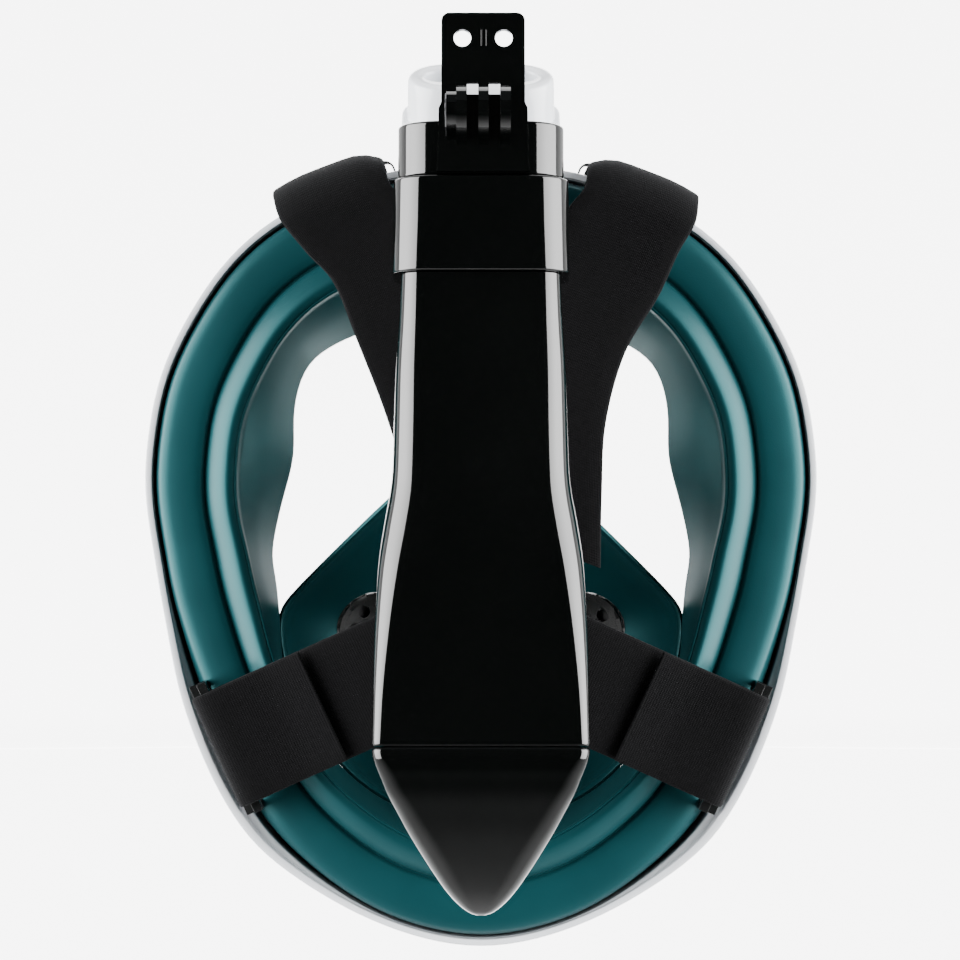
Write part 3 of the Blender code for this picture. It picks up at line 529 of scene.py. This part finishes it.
def booleanMesh(piece, others, operation):
    # The result is baked into the piece, and the guides are removed
    for other in others:
        modifier = piece.modifiers.new("shape", "BOOLEAN")
        modifier.operation = operation
        modifier.object = other
    depsgraph = bpy.context.evaluated_depsgraph_get()
    baked = bpy.data.meshes.new_from_object(piece.evaluated_get(depsgraph))
    piece.modifiers.clear()
    piece.data = baked
    for other in others:
        bpy.data.objects.remove(other, do_unlink=True)


def cutValveHoles(piece, spots, radius):
    cutters = []
    for number, (spot, direction) in enumerate(spots):
        cuts = bmesh.new()
        addHole(cuts, radius, spot, direction, 48, 16)
        cutters.append(plainObject(f"valveHole_{number}", cuts))
    booleanMesh(piece, cutters, "DIFFERENCE")
    piece.data.shade_smooth()
    piece.data.set_sharp_from_angle(angle=math.radians(50))


valve = {"hole": 11.3, "chin": ((0, 55, -123.5), (0, 0.12, -1)),
         "wing": ((33.6, 54, -43.5), (0.40, 0.88, 0.25))}


def buildLens():
    outer = lensRows()
    inner = [(inset + 2.2 * (1 - 0.6 * min(max((depth - 60) / 30, 0), 1)), corner,
              depth - 2.2 * min(max((depth - 50) / 36, 0), 1)) for inset, corner, depth in outer]
    inner = [(2.5, 3.6, 31.8), (inner[0][0], 3.6, 31.8)] + inner[1:]
    bm = bmesh.new()
    rows = list(reversed(inner)) + [(2.5, 3.6, 34.2)] + outer
    first, last = growRows(bm, [insetRow(*row) for row in rows])
    closeEnd(bm, first)
    closeEnd(bm, last)
    piece = makePiece("lens", bm, finishes["clear"], "mask", ["lens"], sharp=60)
    cutValveHoles(piece, [valve["chin"]], valve["hole"])


def buildSkirt():
    outer = roundedProfile([(2.6, 4.2, 22), (2.8, 4.6, 16), (3.2, 5.2, 11), (4.1, 5.8, 8.0),
                            (6.0, 6, 6.7), (9.0, 5.9, 6.0), (12.4, 5.5, 5.6), (15.0, 5.1, 5.5),
                            (16.8, 4.9, 5.7)], 4)
    groove = [(17.4, 4.85, 6.3), (17.7, 4.8, 6.8), (18.2, 4.75, 6.8), (18.5, 4.6, 6.2)]
    roll = roundedProfile([(18.8, 4.6, 5.2), (19.5, 4.4, 4.2), (20.8, 4.2, 2.8), (22.2, 4, 1.6),
                           (23.6, 3.8, 0.7), (25.0, 3.6, 0.3), (26.4, 3.5, 0.7)], 4)
    ridge = [(26.9, 3.4, 1.15), (27.15, 3.4, 0.85), (27.5, 3.4, 0.95), (27.8, 3.35, 1.6)]
    lip = roundedProfile([(0.06, 2.9), (0.25, 6.0), (0.5, 10.4), (0.75, 15.6), (0.93, 19.6),
                          (1.0, 21.2), (1.01, 22.0), (0.99, 22.7), (0.93, 22.2), (0.75, 18.6),
                          (0.5, 13.4), (0.25, 9.6)], 3)
    back = [(25.5, 3.6, 7.4), (20, 4.4, 9), (14, 5.2, 8.4), (9.5, 6, 10.5), (7.4, 6, 15),
            (6.6, 4.2, 24), (6.6, 3.9, 31.4), (2.6, 3.9, 31.4)]
    rows = [insetRow(*row) for row in outer + groove + roll + ridge]
    rows += [lipRow(share, 27.3, 3.4, depth) for share, depth in lip]
    rows += [insetRow(*row) for row in back]
    makePiece("faceSkirt", closedRing(rows), finishes["teal"], "mask", ["face_skirt"],
              sharp=50)


cup = {"centre": -52.0, "rim": 23.0, "depth": 38.0, "rise": 13.0, "wall": 1.8, "rows": 18}


def buildCup():
    radii = evened([radiusRound(cupOutline, cup["centre"])(a) for a in ringAngles], 2)
    surfaces = []
    for inset in (0, cup["wall"]):
        rows = []
        for step in range(cup["rows"]):
            lift = math.pi / 2 * step / cup["rows"]
            share = math.cos(lift)
            row = []
            for a, r in zip(ringAngles, radii):
                edge = r - inset
                height = cup["centre"] + edge * math.cos(a)
                rise = min(max((height + 35) / 49, 0), 1)
                rim = -cup["rise"] * rise * rise * (3 - 2 * rise) * share ** 2
                depth = cup["rim"] + rim + (cup["depth"] - inset) * math.sin(lift)
                row.append(atAngle(a, edge * share, depth, cup["centre"]))
            rows.append(row)
        surfaces.append(rows)
    outer, inner = surfaces
    bead = [p.lerp(q, 0.5) + Vector((0, -0.7, 0)) for p, q in zip(outer[0], inner[0])]
    bm = bmesh.new()
    first, last = growRows(bm, list(reversed(outer)) + [bead] + inner)
    closeEnd(bm, first)
    closeEnd(bm, last)
    piece = makePiece("orinasalCup", bm, finishes["teal"], "mask", ["orinasal_cup"],
                      sharp=60)
    wings = [[mirroredPoint(vector, side) for vector in valve["wing"]] for side in (-1, 1)]
    cutValveHoles(piece, wings, valve["hole"])


def buildExhaleDucts():
    shape = [(0.8, 15), (0, 15.8), (0, 24.2), (0.8, 25), (9.2, 25), (10, 24.2), (10, 15.8), (9.2, 15)]
    for side, name in ((-1, "left"), (1, "right")):
        bm = bmesh.new()
        rows = []
        for step in range(61):
            angle = math.radians(16 + 92 * step / 60)
            index = int(round((side * angle % math.tau) / math.tau * ring["columns"])) % ring["columns"]
            angle = ringAngles[index]
            edge = outlineRadii[index] - 7.9 - 6 * bumps[index]
            rows.append([atAngle(angle, edge - inset, depth) for inset, depth in shape])
        rows = [row for i, row in enumerate(rows) if i == 0 or (row[0] - rows[i - 1][0]).length > 0.01]
        first, last = growRows(bm, rows)
        closeEnd(bm, first)
        closeEnd(bm, last)
        makePiece(f"exhaleDuct_{name}", bm, finishes["teal"], "mask", [f"exhale_duct_{name}"],
                  sharp=50)


buildOuterFrame()
buildLens()
buildSkirt()
buildCup()
buildExhaleDucts()
print("mask shell made")


# Neck and snorkel: drawn in frames whose origin is the hinge axis

hinge = {"place": (0.0, -4.6, 96.3), "neckTilt": 27.0, "foldedTilt": 175.0, "ductMiddle": 19.5}
duct = {"cornerSteps": 10}


def hingeFrame(tilt):
    return Matrix.Translation(Vector(hinge["place"])) @ Matrix.Rotation(math.radians(tilt), 4, "X")


neckFrame = hingeFrame(hinge["neckTilt"])
snorkelFrame = hingeFrame(hinge["foldedTilt"])


def ductRow(width, thickness, radius, z, middle=None):
    # A rounded rectangle across the duct, at z along it
    middle = hinge["ductMiddle"] if middle is None else middle
    steps = duct["cornerSteps"]
    radius = min(radius, width / 2 - 0.01, thickness / 2 - 0.01)
    row = []
    for corner in range(4):
        cx = (width / 2 - radius) * (1 if corner in (0, 3) else -1)
        cy = (thickness / 2 - radius) * (1 if corner in (0, 1) else -1)
        for step in range(steps + 1):
            a = (corner + step / steps) * math.pi / 2
            row.append(Vector((cx + radius * math.cos(a), middle + cy + radius * math.sin(a), z)))
    return row


def pipe(outer, inner):
    rows = [ductRow(*s) for s in outer] + [ductRow(*s) for s in reversed(inner)]
    bm = bmesh.new()
    growRows(bm, rows + [rows[0]])
    return bm


def roundRim(width, thickness, radius, z, turn, soft=0.7):
    # Rows that turn from a flat end face to a side; turn is +1 when the side lies at higher z
    rows = []
    for step in range(5):
        a = math.pi / 2 * step / 4
        less = 2 * soft * (1 - math.sin(a))
        rows.append((width - less, thickness - less, radius, z + turn * soft * (1 - math.cos(a))))
    return rows


neck = {"shoulder": (45.7, 31.4), "spigot": (42.2, 25.6), "height": 13.0, "slot": (33.0, 10.5),
        "swing": 31.9}


def outlineHeight(across):
    # Height of the mask's top outline above a point across it
    best = min(range(-60, 61), key=lambda i: abs(outlineRadii[i] * math.sin(ringAngles[i]) - across))
    return ring["centre"] + outlineRadii[best] * math.cos(ringAngles[best])


latch = {"spread": 5.7, "reach": 22.1, "shift": 0.6, "radius": 2.4}


def buildNeck():
    width, thick = neck["shoulder"]
    tilt = math.radians(hinge["neckTilt"])
    foot = []
    for p in ductRow(width, thick, 12, 0):
        height = outlineHeight(p.x) + 0.3
        z = (height - hinge["place"][2] - p.y * math.sin(tilt)) / math.cos(tilt)
        foot.append(Vector((p.x, p.y, z)))
    w, t = neck["spigot"]
    rear = hinge["ductMiddle"] - t / 2
    top = neck["height"]
    rows = [foot, ductRow(width, thick, 12, -4), ductRow(width, thick, 12, -2.6),
            ductRow(width - 0.5, thick - 0.5, 12, -2.2), ductRow(width - 0.5, thick - 0.5, 12, -1.9),
            ductRow(width, thick, 12, -1.5), ductRow(width, thick, 12, -0.9),
            ductRow(width - 0.5, thick - 0.5, 12, -0.25), ductRow(width - 1.6, thick - 1.6, 12, 0)]
    # The front of the spigot follows the arc on which the sleeve's mouth swings past it
    for z, less in ((0, -0.6), (0.3, 0), (3, 0), (6, 0), (9, 0.1), (top - 1.6, 0.3), (top - 0.8, 0.7),
                    (top - 0.25, 1.5), (top, 2.6)):
        front = min(math.sqrt(neck["swing"] ** 2 - z * z), rear + t)
        deep = front - rear - less
        rows.append(ductRow(w - less, deep, 11, z, rear + less / 2 + deep / 2 - less / 4))
    sw, st = neck["slot"]
    for z, less in ((top, 0), (top - 0.3, 0.6), (top - 1.1, 1.0), (4, 1.6), (-9, 1.8)):
        rows.append(ductRow(sw - less, st - less, 5.2, z, 18.2))
    bm = bmesh.new()
    first, last = growRows(bm, rows)
    closeEnd(bm, last)
    closeEnd(bm, first)
    for x in (-8.2, 8.2):
        web = bmesh.ops.create_cube(bm, size=1)["verts"]
        bmesh.ops.scale(bm, verts=web, vec=(1.5, 11.5, 14))
        bmesh.ops.translate(bm, verts=web, vec=(x, 18.0, 1.6))
    for side in (-1, 1):
        addLug(bm, side * 7.3, side * 11.9, -1)
        peg = bmesh.ops.create_cone(bm, cap_ends=True, segments=24, radius1=1.4, radius2=1.15,
                                    depth=1.6)["verts"]
        bmesh.ops.rotate(bm, verts=peg, cent=(0, 0, 0), matrix=Matrix.Rotation(math.radians(-90), 3, "X"))
        spot = (side * latch["spread"] + latch["shift"], 36.0, -latch["reach"])
        bmesh.ops.translate(bm, verts=peg, vec=spot)
    place(bm, neckFrame)
    makePiece("neckPort", bm, finishes["white"], "mask", ["neck"], sharp=45, weld=0)


def addLug(bm, start, end, side):
    outline = [Vector((0, 5.0, side * 1.2)), Vector((0, 5.0, side * 8.5)), Vector((0, 1.2, side * 5.0))]
    for step in range(25):
        a = math.radians(60 + 285 * step / 24)
        outline.append(Vector((0, 3.1 * math.cos(a), side * 3.1 * math.sin(a))))
    low, high = sorted((start, end))
    rows = [[p + Vector((x, 0, 0)) for p in outline] for x in (low, high)]
    first, last = growRows(bm, rows)
    closeEnd(bm, first)
    closeEnd(bm, last)


def buildSleeve():
    w, t = 46.1, 32.0
    outer = roundRim(w, t, 12, 0.3, 1) + [(w, t, 12, 1.4), (w, t, 12, 14.5), (w, t, 12, 14.9),
                                          (w - 0.5, t - 0.5, 12, 15.25),
                                          (40.4, 25.2, 10, 15.3), (40.4, 25.2, 10, 19.3)]
    inner = [(44.2, 28.0, 11.5, 0.3), (43.4, 27.2, 11.5, 0.9), (43.4, 27.2, 11.5, 14.9),
             (36.4, 21.2, 8, 14.9), (36.4, 21.2, 8, 19.3)]
    bm = pipe(outer, inner)
    addLug(bm, -7.0, 7.0, 1)
    place(bm, snorkelFrame)
    makePiece("baseSleeve", bm, finishes["gloss"], "snorkel", ["base_sleeve"],
              sharp=45, weld=0)


def buildCollar():
    w, t = 48.9, 34.5
    outer = roundRim(w - 0.4, t - 0.2, 11, 15.6, 1, 0.6) + [(w - 0.4, t - 0.2, 11, 16.6), (w, t, 11, 28)]
    outer += [(w + 0.3, t + 0.1, 10.6, 41)] + list(reversed(roundRim(w + 0.3, t + 0.1, 10.6, 42, -1, 0.6)))
    inner = [(41, 25.8, 10, 15.6), (41, 25.8, 10, 42)]
    bm = pipe(outer, inner)
    place(bm, snorkelFrame)
    makePiece("collar", bm, finishes["gloss"], "snorkel", ["collar"], sharp=45)


tube = {"wall": 2.0,
        "sections": [(44.2, 30, 6.8, 42.3), (45.2, 30.3, 7.2, 54), (47.0, 30.9, 8.0, 68),
                     (48.0, 31.3, 8.5, 84), (48.7, 31.6, 8.6, 96), (50.2, 32.3, 9, 103),
                     (53.4, 33.6, 9.3, 112), (56.4, 35.1, 8.6, 123), (58.0, 36.2, 6.6, 138),
                     (58.8, 36.8, 4.4, 156), (59.2, 37, 3.4, 171.6), (58.6, 36.4, 3.2, 172.2)]}


def buildTube():
    outer = [tuple(p[:3]) for p in smoothCurve([(w, t, z) for w, t, r, z in tube["sections"][:-1]], 8)]
    corners = [tuple(p[:2]) for p in smoothCurve([(r, z, 0) for w, t, r, z in tube["sections"][:-1]], 8)]
    rows = [(w, t, corner[0], z) for (w, t, z), corner in zip(outer, corners)]
    rows.append(tube["sections"][-1])
    plug = [(40.4, 25.2, 10, 19.6), (40.4, 25.2, 10, 42.3)]
    inner = [(36.4, 21.2, 8, 19.6), (36.4, 21.2, 8, 44)]
    inner += [(w - 2 * tube["wall"], t - 2 * tube["wall"], 5.5, z) for w, t, r, z in tube["sections"][2:]]
    bm = pipe(plug + rows, inner)
    place(bm, snorkelFrame)
    makePiece("tubeShell", bm, finishes["gloss"], "snorkel", ["tube_shell"], sharp=45)


tip = {"flat": 37 / 59.2, "corner": 0.12, "growth": 0.65, "wall": 2, "halfWidth": 29.6}


def tipRow(r, z):
    # The corners get rounder towards the point
    corner = r * (tip["corner"] + tip["growth"] * (1 - r / tip["halfWidth"]))
    return ductRow(2 * r, 2 * r * tip["flat"], corner, z)


def buildTip():
    profile = [(28.9, 172.5), (29.35, 172.9), (29.6, 173.6), (29.3, 175.6), (28.4, 178.4), (27.2, 181.4),
               (25.4, 185.8), (22.9, 190.6), (20.2, 195.6), (17.2, 200.6), (14.0, 205.6),
               (10.8, 210.2), (8.4, 213.2), (6.0, 215.6), (3.4, 217.5), (1.2, 218.3)]
    outer = [tuple(p[:2]) for p in smoothCurve([(r, z, 0) for r, z in profile], 4)]
    bm = bmesh.new()
    inside = [(r - tip["wall"], z) for r, z in outer if r > 8]
    rows = [tipRow(r, z) for r, z in list(reversed(inside)) + outer]
    first, last = growRows(bm, rows)
    closeEnd(bm, first)
    closeEnd(bm, last)
    place(bm, snorkelFrame)
    makePiece("tipCap", bm, finishes["gloss"], "snorkel", ["tip_cap"], sharp=45)


gasket = {"outside": (42.8, 26.6, 10), "inside": (36.6, 21.4, 8), "low": 13.3, "high": 14.8, "rim": 0.4}


def buildGasket():
    low, high = gasket["low"], gasket["high"]
    outer = roundRim(*gasket["outside"], low, 1, gasket["rim"])
    outer += list(reversed(roundRim(*gasket["outside"], high, -1, gasket["rim"])))
    bm = pipe(outer, [(*gasket["inside"], low), (*gasket["inside"], high)])
    place(bm, snorkelFrame)
    makePiece("sleeveGasket", bm, finishes["rubber"], "snorkel", ["sleeve_gasket"])


buildNeck()
buildSleeve()
buildCollar()
buildTube()
buildTip()
buildGasket()
print("snorkel made")


# Latch tongue with its camera fingers

tongue = {"front": 35.8, "thickness": 2.2, "half": 11.5, "reach": 29.2, "root": 14.9, "corner": 2.2,
          "fingerRadius": 7.0, "fingerHalf": 1.4, "fingerPitch": 6.0, "fingerMiddle": 0.7,
          "drop": 0.7, "boltHole": 2.5, "bossOffset": 2.75, "bossRadius": 5.7,
          "nutPocket": 4.9, "pocketOffset": 3.85}


def fingerSlab(name, middle, radius, pivot):
    root = pivot - tongue["fingerRadius"] - 0.8
    edge = [Vector((0, root, radius - tongue["drop"])), Vector((0, root, -radius - tongue["drop"]))]
    for i in range(33):
        a = math.radians(-90 + 180 * i / 32)
        edge.append(Vector((0, pivot + radius * math.cos(a), radius * math.sin(a) - tongue["drop"])))
    bm = bmesh.new()
    rows = [[p + Vector((middle + dx, 0, 0)) for p in edge]
            for dx in (-tongue["fingerHalf"], tongue["fingerHalf"])]
    first, last = growRows(bm, rows)
    closeEnd(bm, first)
    closeEnd(bm, last)
    return plainObject(name, bm, snorkelFrame)


def buildTongue():
    half, reach, corner = tongue["half"], tongue["reach"], tongue["corner"]
    front, face = tongue["front"], tongue["front"] + tongue["thickness"]
    edge = []
    for sign in (1, -1):
        arc = [(sign * (half - corner + corner * math.sin(math.radians(9 * i))),
                -reach + corner - corner * math.cos(math.radians(9 * i))) for i in range(11)]
        side = arc + [(sign * half, -4.4), (sign * (half + 0.25), -3.6), (sign * (half + 0.7), -2.8),
                      (sign * (half + 0.75), -1.6), (sign * (half + 0.9), 10.5),
                      (sign * (half + 1.25), tongue["root"])]
        edge += side if sign == 1 else list(reversed(side))
    bm = bmesh.new()
    shift = latch["shift"]
    first, last = growRows(bm, [[Vector((x + shift, y, z)) for x, z in edge] for y in (front, face)])
    closeEnd(bm, first)
    closeEnd(bm, last)
    plate = plainObject("latchTongue", bm, snorkelFrame)
    pivot = face + tongue["fingerRadius"]
    middles = [tongue["fingerMiddle"] + i * tongue["fingerPitch"] for i in (-1, 0, 1)]
    added = [fingerSlab(f"finger_{i}", x, tongue["fingerRadius"], pivot) for i, x in enumerate(middles)]
    added.append(fingerSlab("nutBoss", middles[0] - tongue["bossOffset"], tongue["bossRadius"], pivot))
    booleanMesh(plate, added, "UNION")
    cuts = bmesh.new()
    addHole(cuts, tongue["boltHole"], (0, pivot, -tongue["drop"]), (1, 0, 0), 40, 40)
    cutters = [plainObject("bore", cuts, snorkelFrame)]
    cuts = bmesh.new()
    spot = (middles[0] - tongue["pocketOffset"], pivot, -tongue["drop"])
    addHole(cuts, tongue["nutPocket"], spot, (1, 0, 0), 6, 4)
    cutters.append(plainObject("pocket", cuts, snorkelFrame))
    for side in (-1, 1):
        cuts = bmesh.new()
        spot = (side * latch["spread"] + shift, front, -latch["reach"])
        addHole(cuts, latch["radius"], spot, (0, 1, 0), 48, 9)
        cutters.append(plainObject("latchHole", cuts, snorkelFrame))
        cuts = bmesh.new()
        bmesh.ops.create_cube(cuts, size=1)
        bmesh.ops.scale(cuts, verts=cuts.verts, vec=(3.1, 8, 3.2))
        middle = tongue["fingerMiddle"] + side * tongue["fingerPitch"] / 2
        bmesh.ops.translate(cuts, verts=cuts.verts, vec=(middle, front + 1, -8.0))
        cutters.append(plainObject("window", cuts, snorkelFrame))
    booleanMesh(plate, cutters, "DIFFERENCE")
    bm = bmesh.new()
    bm.from_mesh(plate.data)
    bpy.data.objects.remove(plate, do_unlink=True)
    bmesh.ops.scale(bm, verts=bm.verts, vec=(1000, 1000, 1000))
    bmesh.ops.remove_doubles(bm, verts=bm.verts, dist=0.001)
    piece = makePiece("latchTongue", bm, finishes["gloss"], "snorkel", ["latch_tongue"],
                      sharp=30, weld=0)
    softenEdges(piece, 0.3, 3)
    ribs = bmesh.new()
    for x in (0.1, 1.4):
        rib = bmesh.ops.create_cube(ribs, size=1)["verts"]
        bmesh.ops.scale(ribs, verts=rib, vec=(0.32, 0.5, 4.6))
        bmesh.ops.translate(ribs, verts=rib, vec=(x, face + 0.1, -latch["reach"]))
    place(ribs, snorkelFrame)
    marks = makePiece("tongueRibs", ribs, finishes["gloss"], "snorkel", weld=0)
    softenEdges(marks, 0.08, 2)


buildTongue()
print("tongue made")


# Straps: woven bands along smooth routes

strap = {"width": 34.0, "thickness": 1.6, "droop": (1.6, 4.2),
         "upperAcross": (0.935, 0, 0.355), "loopMiddle": (75.0, -77.8)}
upperRoutes = {
    "left": [(-40, 43.5, 81.6), (-42, 37, 85.6), (-43.5, 27, 89), (-44, 14, 90.4), (-43.5, 2, 88),
             (-41, -3.4, 81), (-34, -4.2, 71), (-26, -4.6, 62), (-19.5, -5, 46), (-11, -5.6, 24),
             (-5.5, -5.8, 4), (-4, -5.8, -19)],
    "right": [(43, 43.5, 80), (45, 37, 84), (46, 27, 87.6), (46.8, 14, 89), (46.4, 2, 87),
              (45, -3.4, 80), (40, -4.2, 70), (34.5, -4.6, 58), (25, -6.4, 42), (19.5, -8.4, 22),
              (18.4, -8.6, 2), (18, -8.6, -19)],
}
lowerRoute = [(74, -8.6), (58, -8.2), (40, -6.2), (28, -3.5), (20, -1.8), (13.5, 0.5), (9.0, 2.2),
              (4.2, 3.1), (1.4, 2.3), (0.2, 0.2), (0.2, -2), (1.4, -4.0), (4.6, -4.9), (12, -5.0),
              (22, -5.5), (33, -7.8)]


def strapSection(steps=8):
    # Half width and half thickness of a band with rounded edges, as shares of -1 to 1
    flat = [-0.94 + 1.88 * i / steps for i in range(steps + 1)]
    top = [(x, 1.0) for x in flat]
    edge = [(0.985, 0.72), (1.0, 0.0), (0.985, -0.72)]
    bottom = [(x, -1.0) for x in reversed(flat)]
    return top + edge + bottom + [(-x, -y) for x, y in edge]


def edgeDroop(height, share):
    # How far a strap's edge hangs where it turns over the top of the frame
    near = min(max((height - 70) / 14, 0), 1)
    edge = max(abs(share) - 0.3, 0) / 0.7
    return strap["droop"][share > 0] * edge * edge * near * near * (3 - 2 * near)


def buildStrap(name, route, across, node, steps=8):
    path = smoothCurve(route, steps)
    across = Vector(across).normalized()
    section = strapSection()
    rows, lengths, run = [], [], 0.0
    for i, point in enumerate(path):
        ahead = path[min(i + 1, len(path) - 1)] - path[max(i - 1, 0)]
        out = ahead.cross(across).normalized()
        if i:
            run += (point - path[i - 1]).length
        lengths.append(run)
        rows.append([point + across * strap["width"] / 2 * x + out * strap["thickness"] / 2 * y
                     - Vector((0, 0, edgeDroop(point.z, x))) for x, y in section])
    bm = bmesh.new()
    first, last = growRows(bm, rows)
    closeEnd(bm, first)
    closeEnd(bm, last)
    column = bm.verts.layers.int["column"]
    level = bm.verts.layers.float["level"]
    chart = bm.loops.layers.uv.new("weave")
    for face in bm.faces:
        for corner in face.loops:
            x, y = section[corner.vert[column]]
            corner[chart].uv = (x * strap["width"] / 2 * mm + 0.05 * (y < 0),
                                lengths[int(corner.vert[level])] * mm)
    piece = makePiece(name, bm, finishes["webbing"], "mask", [node], sharp=50, weld=0)
    return piece


def lowerPoint(side, along, depth):
    x, z = strap["loopMiddle"]
    return mirroredPoint((x - 0.909 * along, depth, z + 0.416 * along), side)


def buildStraps():
    for side, name in ((-1, "left"), (1, "right")):
        across = mirroredPoint(strap["upperAcross"], -side)
        buildStrap(f"strapUpper_{name}", upperRoutes[name], across, f"strap_upper_{name}")
        route = [lowerPoint(side, along, depth) for along, depth in lowerRoute]
        buildStrap(f"strapLower_{name}", route, mirroredPoint((-0.416, 0, -0.909), side),
                   f"strap_lower_{name}")


clip = {"half": 17.8, "low": -6.0, "high": 3.4, "slot": (-2.7, 2.2), "slotHalf": 17.2, "thickness": 2.4}


def buildClips():
    # Flat loops on the front of the frame that the upper straps are threaded through
    for side, name in ((-1, "left"), (1, "right")):
        low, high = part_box(f"strap_clip_{name}")
        middle = (Vector(low) + Vector(high)) / 2 / mm
        across = mirroredPoint(strap["upperAcross"], -side).normalized()
        up = Vector((-across.z * (1 if across.x > 0 else -1), 0, abs(across.x))).normalized()
        middle += up * 0.5
        shape = [(clip["half"], clip["low"], clip["high"], 3.0), (clip["slotHalf"], *clip["slot"], 1.6)]
        loops = []
        for half, bottom, top, corner in shape:
            flat = ductRow(2 * half, top - bottom, corner, 0, (top + bottom) / 2)
            loops.append([(p.x, p.y) for p in flat])
        rows = []
        for loop, depth in ((loops[0], -1), (loops[0], 1), (loops[1], 1), (loops[1], -1), (loops[0], -1)):
            rows.append([middle + across * x + up * z + Vector((0, depth * clip["thickness"] / 2, 0))
                         for x, z in loop])
        bm = bmesh.new()
        growRows(bm, rows)
        piece = makePiece(f"strapClip_{name}", bm, finishes["satin"], "mask", [f"strap_clip_{name}"],
                          sharp=30)
        softenEdges(piece, 0.3, 2, 40)


yoke = {"width": 46, "height": 62, "corner": 10, "middle": -29}


def buildYoke():
    bm = bmesh.new()
    rows = []
    for depth, less in ((-9.9, 0.8), (-10.0, 0.2), (-10.4, 0), (-11.1, 0), (-11.5, 0.3), (-11.6, 1.0)):
        row = ductRow(yoke["width"] - less, yoke["height"] - less, yoke["corner"], 0, 0)
        rows.append([Vector((p.x, depth, p.y + yoke["middle"])) for p in row])
    first, last = growRows(bm, rows)
    closeEnd(bm, first)
    closeEnd(bm, last)
    chart = bm.loops.layers.uv.new("weave")
    for face in bm.faces:
        for corner in face.loops:
            corner[chart].uv = (corner.vert.co.x * mm, corner.vert.co.z * mm)
    makePiece("harnessYoke", bm, finishes["webbing"], "mask", ["harness_yoke"],
              sharp=50, weld=0)


buildStraps()
buildClips()
buildYoke()
print("straps made")


# Pieces whose CAD shape is right keep it, with soft edges and their own finish

keptNodes = {
    "satin": ["strap_loop_left", "strap_loop_right", "purge_seat", "purge_cover",
              "inlet_seat_left", "inlet_seat_right", "inner_duct", "float_seat", "float_cage"],
    "rubber": ["inlet_flap_left", "inlet_flap_right", "purge_flap", "float_disc"],
    "steel": ["hinge_pin", "camera_nut"],
    "foam": ["float"],
}


def dressNode(name, finish):
    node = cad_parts[name]
    node.data.materials.clear()
    node.data.materials.append(finishes[finish])
    weld = node.modifiers.new("weld", "WELD")
    weld.merge_threshold = 0.000002
    softenEdges(node, 0.2, 2, 40)


for finishName, names in keptNodes.items():
    for nodeName in names:
        dressNode(nodeName, finishName)
print("small pieces finished")
